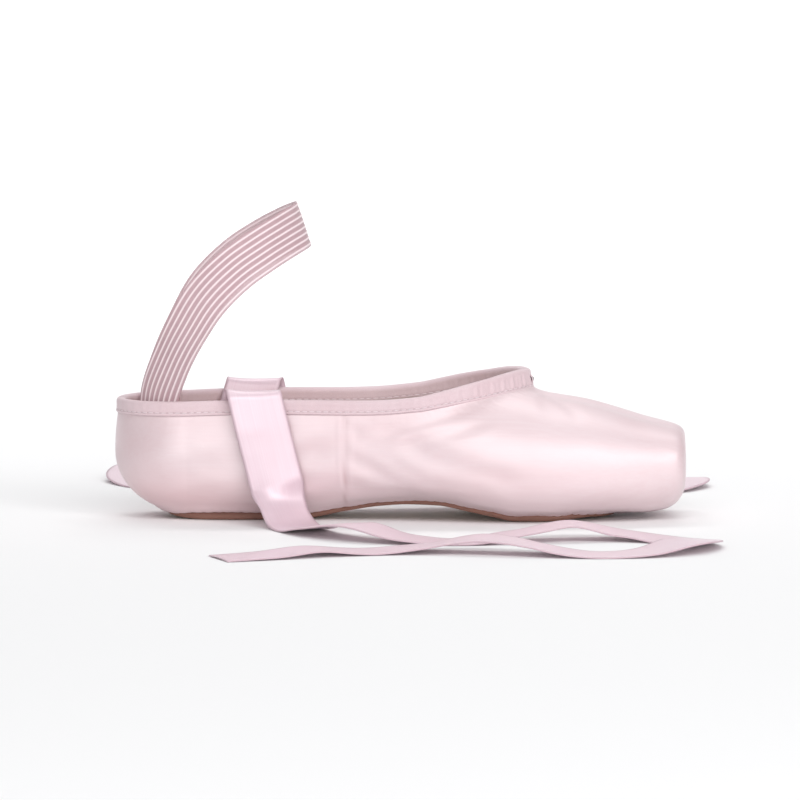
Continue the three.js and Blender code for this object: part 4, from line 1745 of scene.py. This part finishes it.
@dataclass(frozen=True)
class Course:
    """The course of a strip: its middle line, the way across it and the way out of its face."""

    line: Array
    across: Array
    face: Array

    def beside(self, rows: int | slice, aside: Array | float, out: Array | float) -> Array:
        """Gives places beside points of the line: so far across it, and so far out of its face."""
        return self.line[rows] + self.across[rows] * aside + self.face[rows] * out

    def sheet(self, share: Array, half_width: float, lift: Array, half_thickness: Array) -> Array:
        """Works out the grid of a strip that follows the course.

        Args:
            share: the place of each column across the strip, from -1 to 1.
            half_width: half the strip's width.
            lift: how far out of the face each point stands, points of the line by columns.
            half_thickness: half the strip's thickness in each column.

        Returns:
            Rows of points, each across one face and back across the other.
        """
        line, across, face = (part[:, None] for part in (self.line, self.across, self.face))
        middle = line + across * (share * half_width)[:, None] + face * lift[..., None]
        half = face * half_thickness[:, None]
        return np.concatenate([middle - half, (middle + half)[:, ::-1]], axis=1)


@dataclass
class ElasticStrap:
    """The loop of ankle elastic sewn inside the heel, which keeps the arch that wearing gave it."""

    width: float = 19.0
    thickness: float = 0.9
    net_share: float = 0.42
    cords: int = 8
    columns_per_cord: int = 10
    steps: int = 260
    curl: float = 1.7
    heel_centre: float = 30.0
    ankle_centre: float = 44.0
    leaves_heel: tuple[float, float] = (50.0, 80.0)
    slopes_from: tuple[float, float] = (90.0, 120.0)
    front_slope: float = 0.34
    # A slight wave along it, in radians to a row and across it.
    wave: float = 0.12
    wave_beat: float = 0.21
    wave_skew: float = 2.0
    wave_ends: int = 40
    # The stitches: their rows from each end, the first, the limit and the step across, and their length.
    sewn_rows: tuple[int, int] = (2, 9)
    stitch_row: tuple[float, float, float] = (-0.86, 0.8, 0.24)
    stitch: float = 0.16
    stitch_lift: float = 0.06
    thread: float = 0.18
    route: Sequence[Point] = (
        (16.8, 17.2, 38.0), (17.1, 17.4, 45.0), (18.0, 18.1, 52.0), (22.5, 22.2, 64.0), (29.5, 26.4, 78.0),
        (38.5, 28.6, 92.5), (50.0, 28.4, 104.0), (61.5, 24.4, 112.0), (71.5, 16.4, 117.8), (77.0, 7.0, 120.6),
    )

    def build(self) -> None:
        """Builds the strap and the stitches at its two sewn ends."""
        half = np.asarray(self.route, float)
        line = SmoothRoute(np.vstack([half * MIRROR, half[::-1]]))(self.steps)
        risen = ramp(line[:, 2], *self.leaves_heel)
        centre = self.heel_centre + (self.ankle_centre - self.heel_centre) * risen
        along = unit(np.gradient(line, axis=0))
        face = unit(np.stack([line[:, 0] - centre, line[:, 1], 0 * risen], axis=1))
        face[:, 2] = self.front_slope * ramp(line[:, 2], *self.slopes_from)
        across = unit(np.cross(along, face))
        course = Course(line, across, unit(np.cross(across, along)))
        curl = self.curl * (1 - risen)
        dress(self._strap(course, curl), ANKLE_ELASTIC, "ankle_elastic", "elastic_strap")
        dress(self._stitches(course, curl), THREAD, "ankle_elastic")

    def _strap(self, course: Course, curl: Array) -> Piece:
        """Builds the strap with its raised cords.

        Args:
            course: the strap's course.
            curl: how far its two edges curl back, at each point of the line.

        Returns:
            The strap.
        """
        share = np.linspace(-1, 1, self.cords * self.columns_per_cord + 1)
        cord = (0.5 - 0.5 * np.cos((share + 1) * math.pi * self.cords)) ** 4
        half_thickness = self.thickness / 2 * (self.net_share + (1 - self.net_share) * cord)
        row = np.arange(self.steps)[:, None]
        steady = smooth(np.minimum(row, row[::-1]) / self.wave_ends)
        wave = self.wave * np.sin(row * self.wave_beat + share * self.wave_skew) * steady
        grid = course.sheet(share, self.width / 2, wave - curl[:, None] * share**2, half_thickness)
        piece = grid_mesh("ankle_elastic_loop", grid, False)
        mask(piece, "cord", np.tile(there_and_back(cord), (self.steps, 1)))
        return piece

    def _stitches(self, course: Course, curl: Array) -> Piece:
        """Sews two rows of stitches at each end, on the side that the foot touches.

        Args:
            course: the strap's course.
            curl: how far its two edges curl back, at each point of the line.

        Returns:
            The stitches.
        """
        runs = []
        first, second = self.sewn_rows
        for row in (first, second, self.steps - 1 - second, self.steps - 1 - first):
            for begin in np.arange(*self.stitch_row):
                share = np.linspace(begin, begin + self.stitch, 4)[:, None]
                lift = self.thickness / 2 + self.stitch_lift + curl[row] * share**2
                runs.append((course.beside(row, share * self.width / 2, -lift), self.thread))
        return tubes("elastic_stitches", runs)


# Both ribbons start inside the collar and pass over its edge: from heel, out, height.
OVER_THE_COLLAR = (
    (51.5, 23.2, 36), (53.5, 23.2, 43), (55.4, 23.3, 49.4), (56.4, 24.4, 52.8), (57.2, 27.2, 54.2),
    (58.0, 30.6, 52.8), (59.0, 32.0, 48.6),
)

NEAR_ROUTE = (
    *OVER_THE_COLLAR,
    (60.6, 33.2, 42), (63.4, 33.6, 31), (66.2, 34.4, 20), (69.0, 37.0, 10), (72.6, 43.5, 3.2),
    (77, 54, 1.0), (86, 72, 3.6), (101, 88, 6.4), (121, 97, 2.2), (143, 99, 0.9),
    (165, 94, 3.8), (186, 88, 6.8), (207, 87, 3.0), (225, 94, 1.0), (235, 110, 2.4),
    (231, 129, 4.6), (215, 141, 1.8), (194, 144, 0.9), (172, 140, 3.6), (150, 134, 6.6),
    (128, 131, 3.0), (106, 133, 1.0), (84, 140, 2.6), (64, 149, 1.4), (46, 156, 0.8),
)

FAR_ROUTE = (
    *OVER_THE_COLLAR,
    (60.0, 33.2, 42), (61.4, 33.6, 31), (62.4, 34.4, 20), (63.0, 37.0, 10), (63.0, 44.0, 3.2),
    (61, 55, 1.0), (53, 72, 3.4), (40, 88, 6.2), (24, 101, 2.4), (9, 116, 0.9),
    (2, 135, 3.4), (9, 154, 5.6), (27, 164, 2.0), (48, 164, 0.9), (68, 156, 3.6),
    (87, 146, 6.4), (107, 139, 2.6), (129, 138, 0.9), (151, 142, 3.4), (173, 147, 5.6),
    (195, 147, 2.0), (215, 141, 0.9), (232, 130, 1.6), (239, 113, 3.4), (231, 96, 2.0),
    (222, 90, 0.8),
)


@dataclass
class Ribbon:
    """A satin ankle ribbon: sewn inside the collar, over its edge, down the side and laid along the floor."""

    name: str
    node: str
    side: Side
    route: Sequence[Point]
    seed: int
    width: float = 22.0
    thickness: float = 0.35
    columns: int = 17
    steps: int = 620
    path_step: int = 4
    # The heights between which it turns from hanging to lying.
    lies_down: tuple[float, float] = (18.0, 6.0)
    # Its ripples on the floor: below which height, how high, how long, and how much room each needs.
    ripples_below: tuple[float, float] = (9.0, 6.0)
    ripple: float = 0.16
    ripples: int = 5
    ripple_lengths: tuple[float, float] = (26.0, 70.0)
    cupped: float = 0.45
    floor_room: float = 0.7
    floor_clear: float = 3.7
    lowest: float = 0.05
    # Its folds where it hangs: between which heights, and from where along the shoe.
    hanging_span: Span = (9.0, 17.0, 37.0, 47.0)
    hangs_from: float = 58.0
    fold: float = 0.55
    fold_length: float = 9.0
    fold_skew: float = 1.9
    bowed: float = 0.8
    # The rolled edge: how much thicker it is, and where across it starts. The woven selvedge: where it
    # starts and is full.
    rolled: float = 0.5
    rolled_from: float = 0.9
    selvedge: tuple[float, float] = (0.86, 0.96)
    # The stitches of its sewn end: their rows, the first, the limit and the step across, and their length.
    sewn_rows: tuple[int, int] = (2, 13)
    stitch_row: tuple[float, float, float] = (-0.92, 0.8, 0.21)
    sewn_in: float = 1.6
    stitch: float = 0.13
    stitch_lift: float = 0.08
    thread: float = 0.16

    def build(self) -> None:
        line = SmoothRoute([(x, out * self.side.value, z) for x, out, z in self.route])(self.steps)
        course = self._course(line)
        piece = self._strip(course)
        dress(piece, RIBBON_SATIN, "ribbon_satin", self.node)
        dress(self._stitches(course), THREAD, "ribbon_satin")

    def _course(self, line: Array) -> Course:
        """Works out the way across the ribbon, which is level where it lies, and the way out of its face.

        Args:
            line: the ribbon's middle line, in mm.

        Returns:
            The ribbon's course.
        """
        along = unit(np.gradient(line, axis=0))
        lying = ramp(line[:, 2:3], *self.lies_down)
        hung = unit(FORWARDS - along * along[:, :1])
        laid = unit(np.cross(-self.side.value * UP, along))
        across = hung + (laid - hung) * lying
        across = unit(across - along * np.sum(across * along, axis=1, keepdims=True))
        return Course(line, across, unit(np.cross(across, along)))

    def _stitches(self, course: Course) -> Piece:
        """Sews a box of stitches inside the collar, on the side that the foot touches.

        Args:
            course: the ribbon's course.

        Returns:
            The stitches.
        """
        lift = self.side.value * (self.thickness / 2 + self.stitch_lift)
        edge = self.width / 2 - self.sewn_in
        first, last = self.sewn_rows
        runs = []
        for row in (first, last):
            for begin in np.arange(*self.stitch_row):
                share = np.linspace(begin, begin + self.stitch, 4)[:, None]
                runs.append((course.beside(row, share * edge, lift), self.thread))
        for row in range(first, last - 1, 2):
            for aside in (-edge, edge):
                runs.append((course.beside(slice(row, row + 2), aside, lift), self.thread))
        return tubes(f"{self.name}_stitches", runs)

    def _ripples(self, reach: Array, share: Array) -> Array:
        """Gives light ripples of several lengths, which cross the ribbon at a slant.

        Args:
            reach: how far along the ribbon each row lies.
            share: the place of each column, from -1 to 1.

        Returns:
            How far out each point moves, rows by columns.
        """
        rng = np.random.default_rng(self.seed)
        ripple = np.zeros((len(reach), len(share)))
        for _ in range(self.ripples):
            pitch, phase = rng.uniform(*self.ripple_lengths), rng.uniform(0, 6.3)
            skew = rng.uniform(-1.2, 1.2)
            ripple += self.ripple * np.sin(reach * 2 * math.pi / pitch + phase + skew * share)
        return ripple

    def _strip(self, course: Course) -> Piece:
        """Builds the strip with its ripples and a rolled selvedge at each edge.

        Args:
            course: the ribbon's course.

        Returns:
            The ribbon.
        """
        share = np.linspace(-1, 1, self.columns)
        reach = reach_along(course.line)[:, None]
        height = course.line[:, 2:3]
        clear = np.clip((height - self.floor_room) / (self.floor_clear - self.floor_room), 0, 1)
        lying = self._ripples(reach, share) * clear - self.cupped * share**2
        hanging = self.fold * np.sin(reach / self.fold_length + self.fold_skew * share)
        hanging = hanging + self.bowed * (1 - share**2)
        hung = window(height, *self.hanging_span) * (course.line[:, :1] > self.hangs_from)
        lift = self.side.value * (lying * ramp(height, *self.ripples_below) + hanging * hung)
        half_thickness = self.thickness / 2 * (1 + self.rolled * ramp(np.abs(share), self.rolled_from, 1.0))
        grid = course.sheet(share, self.width / 2, lift, half_thickness)
        grid[..., 2] = np.maximum(grid[..., 2], self.lowest)
        piece = grid_mesh(self.name, grid, False)
        selvedge = ramp(np.abs(share), *self.selvedge)
        mask(piece, "selvedge", np.tile(there_and_back(selvedge), (self.steps, 1)))
        self._lay_out(piece, reach, there_and_back(share))
        return piece

    def _lay_out(self, piece: Piece, reach: Array, share: Array) -> None:
        """Writes the place along and across the ribbon, in metres, as its texture coordinates.

        Args:
            piece: the ribbon.
            reach: how far along the ribbon each row lies.
            share: the place across of each point in a row, from -1 to 1.
        """
        places = np.stack(np.broadcast_arrays(reach, share * self.width / 2), axis=-1).reshape(-1, 2) * MM
        corners = np.zeros(len(piece.data.loops), np.int32)
        piece.data.loops.foreach_get("vertex_index", corners)
        layer = piece.data.uv_layers.new(name="laid")
        layer.data.foreach_set("uv", places[corners].astype(np.float32).ravel())


# ------------------------------------------------------------------------------------------------ studio


@dataclass(frozen=True)
class Softbox:
    """A soft light: its place, the point that it faces and its size in metres, and its power in watts."""

    name: str
    place: Point
    aim: Point
    size: tuple[float, float]
    power: float

    def build(self) -> None:
        """Sets up the light."""
        data = bpy.data.lights.new(self.name, "AREA")
        data.shape = "RECTANGLE"
        data.size, data.size_y = self.size
        data.energy = self.power
        light = add_object(self.name, data)
        light.location = self.place
        light.rotation_euler = (Vector(self.aim) - Vector(self.place)).to_track_quat("-Z", "Y").to_euler()


SOFTBOXES = (
    Softbox("front_softbox", (0.35, -2.05, 1.8), (0.0, 0.0, 0.05), (3.0, 0.9), 36.0),
    Softbox("low_softbox", (0.1, -2.3, 0.32), (0.0, 0.0, 0.03), (2.6, 0.4), 12.0),
    Softbox("backdrop_softbox", (0.0, 1.5, 2.6), (0.0, 3.8, 0.2), (2.4, 2.4), 85.0),
    Softbox("toe_softbox", (1.7, -1.9, 1.0), (0.08, 0.0, 0.03), (0.9, 0.9), 12.0),
)


@dataclass
class Studio:
    """A pale sweep, soft lights and the camera, which looks at the shoe's near side from low down."""

    aim: Point = (0.0, 0.0, 0.048)
    elevation: float = 5.5
    distance: float = 3.2
    view_width: float = 0.33
    film_width: float = 36.0
    softboxes: Sequence[Softbox] = SOFTBOXES
    air: Colour = (0.93, 0.93, 0.95)
    air_strength: float = 0.41
    paper: Colour = (0.93, 0.93, 0.93)
    paper_rough: float = 0.9
    sweep_width: float = 9.0
    sweep_front: float = -4.5
    sweep_turn: float = 3.0
    sweep_radius: float = 2.0
    sweep_top: float = 4.0

    def build(self) -> None:
        """Sets the camera, the sweep, the lights and the surroundings."""
        self._camera()
        self._sweep()
        for softbox in self.softboxes:
            softbox.build()
        world = bpy.data.worlds.new("studio_air")
        world.use_nodes = True
        background = world.node_tree.nodes["Background"]
        background.inputs["Color"].default_value = (*self.air, 1.0)
        background.inputs["Strength"].default_value = self.air_strength
        bpy.context.scene.world = world
        bpy.context.scene.view_settings.view_transform = "Standard"
        log.info("studio: camera, sweep and %d lights", len(self.softboxes))

    def _camera(self) -> None:
        """Sets the camera on the shoe's near side."""
        tilt = math.radians(self.elevation)
        data = bpy.data.cameras.new("camera")
        data.sensor_width = self.film_width
        data.lens = self.film_width * self.distance / self.view_width
        camera = add_object("camera", data)
        x, y, z = self.aim
        camera.location = (x, y - self.distance * math.cos(tilt), z + self.distance * math.sin(tilt))
        camera.rotation_euler = (math.pi / 2 - tilt, 0.0, 0.0)
        bpy.context.scene.camera = camera

    def _sweep(self) -> None:
        """Lays the floor, which curves up into the backdrop."""
        line = [(self.sweep_front, 0.0)]
        for angle in np.linspace(0, math.pi / 2, 17):
            forward, rise = math.sin(angle), 1 - math.cos(angle)
            line.append((self.sweep_turn + self.sweep_radius * forward, self.sweep_radius * rise))
        line.append((self.sweep_turn + self.sweep_radius, self.sweep_top))
        points = np.array([(side * self.sweep_width / 2, y, z) for y, z in line for side in (-1, 1)])
        faces = [(i, i + 1, i + 3, i + 2) for i in range(0, len(points) - 2, 2)]
        sweep = add_mesh("sweep", points, faces)
        recipe = Recipe("sweep_paper")
        recipe.set(Base_Color=(*self.paper, 1.0), Roughness=self.paper_rough)
        sweep.data.materials.append(recipe.material)


def main() -> None:
    """Builds the studio and the shoe, one sub-assembly at a time."""
    Studio().build()
    Ribbon("near_ribbon", "ribbon_near", Side.NEAR, NEAR_ROUTE, seed=4).build()
    Ribbon("far_ribbon", "ribbon_far", Side.FAR, FAR_ROUTE, seed=9).build()
    last = Last()
    fine, coarse = Collar(last, fineness=8), Collar(last, fineness=4)
    Upper(last, fine, coarse).build()
    Binding(fine).build()
    Outsole(last, fine).build()
    Insole(last).build()
    ElasticStrap().build()


if __name__ == "__main__":
    main()
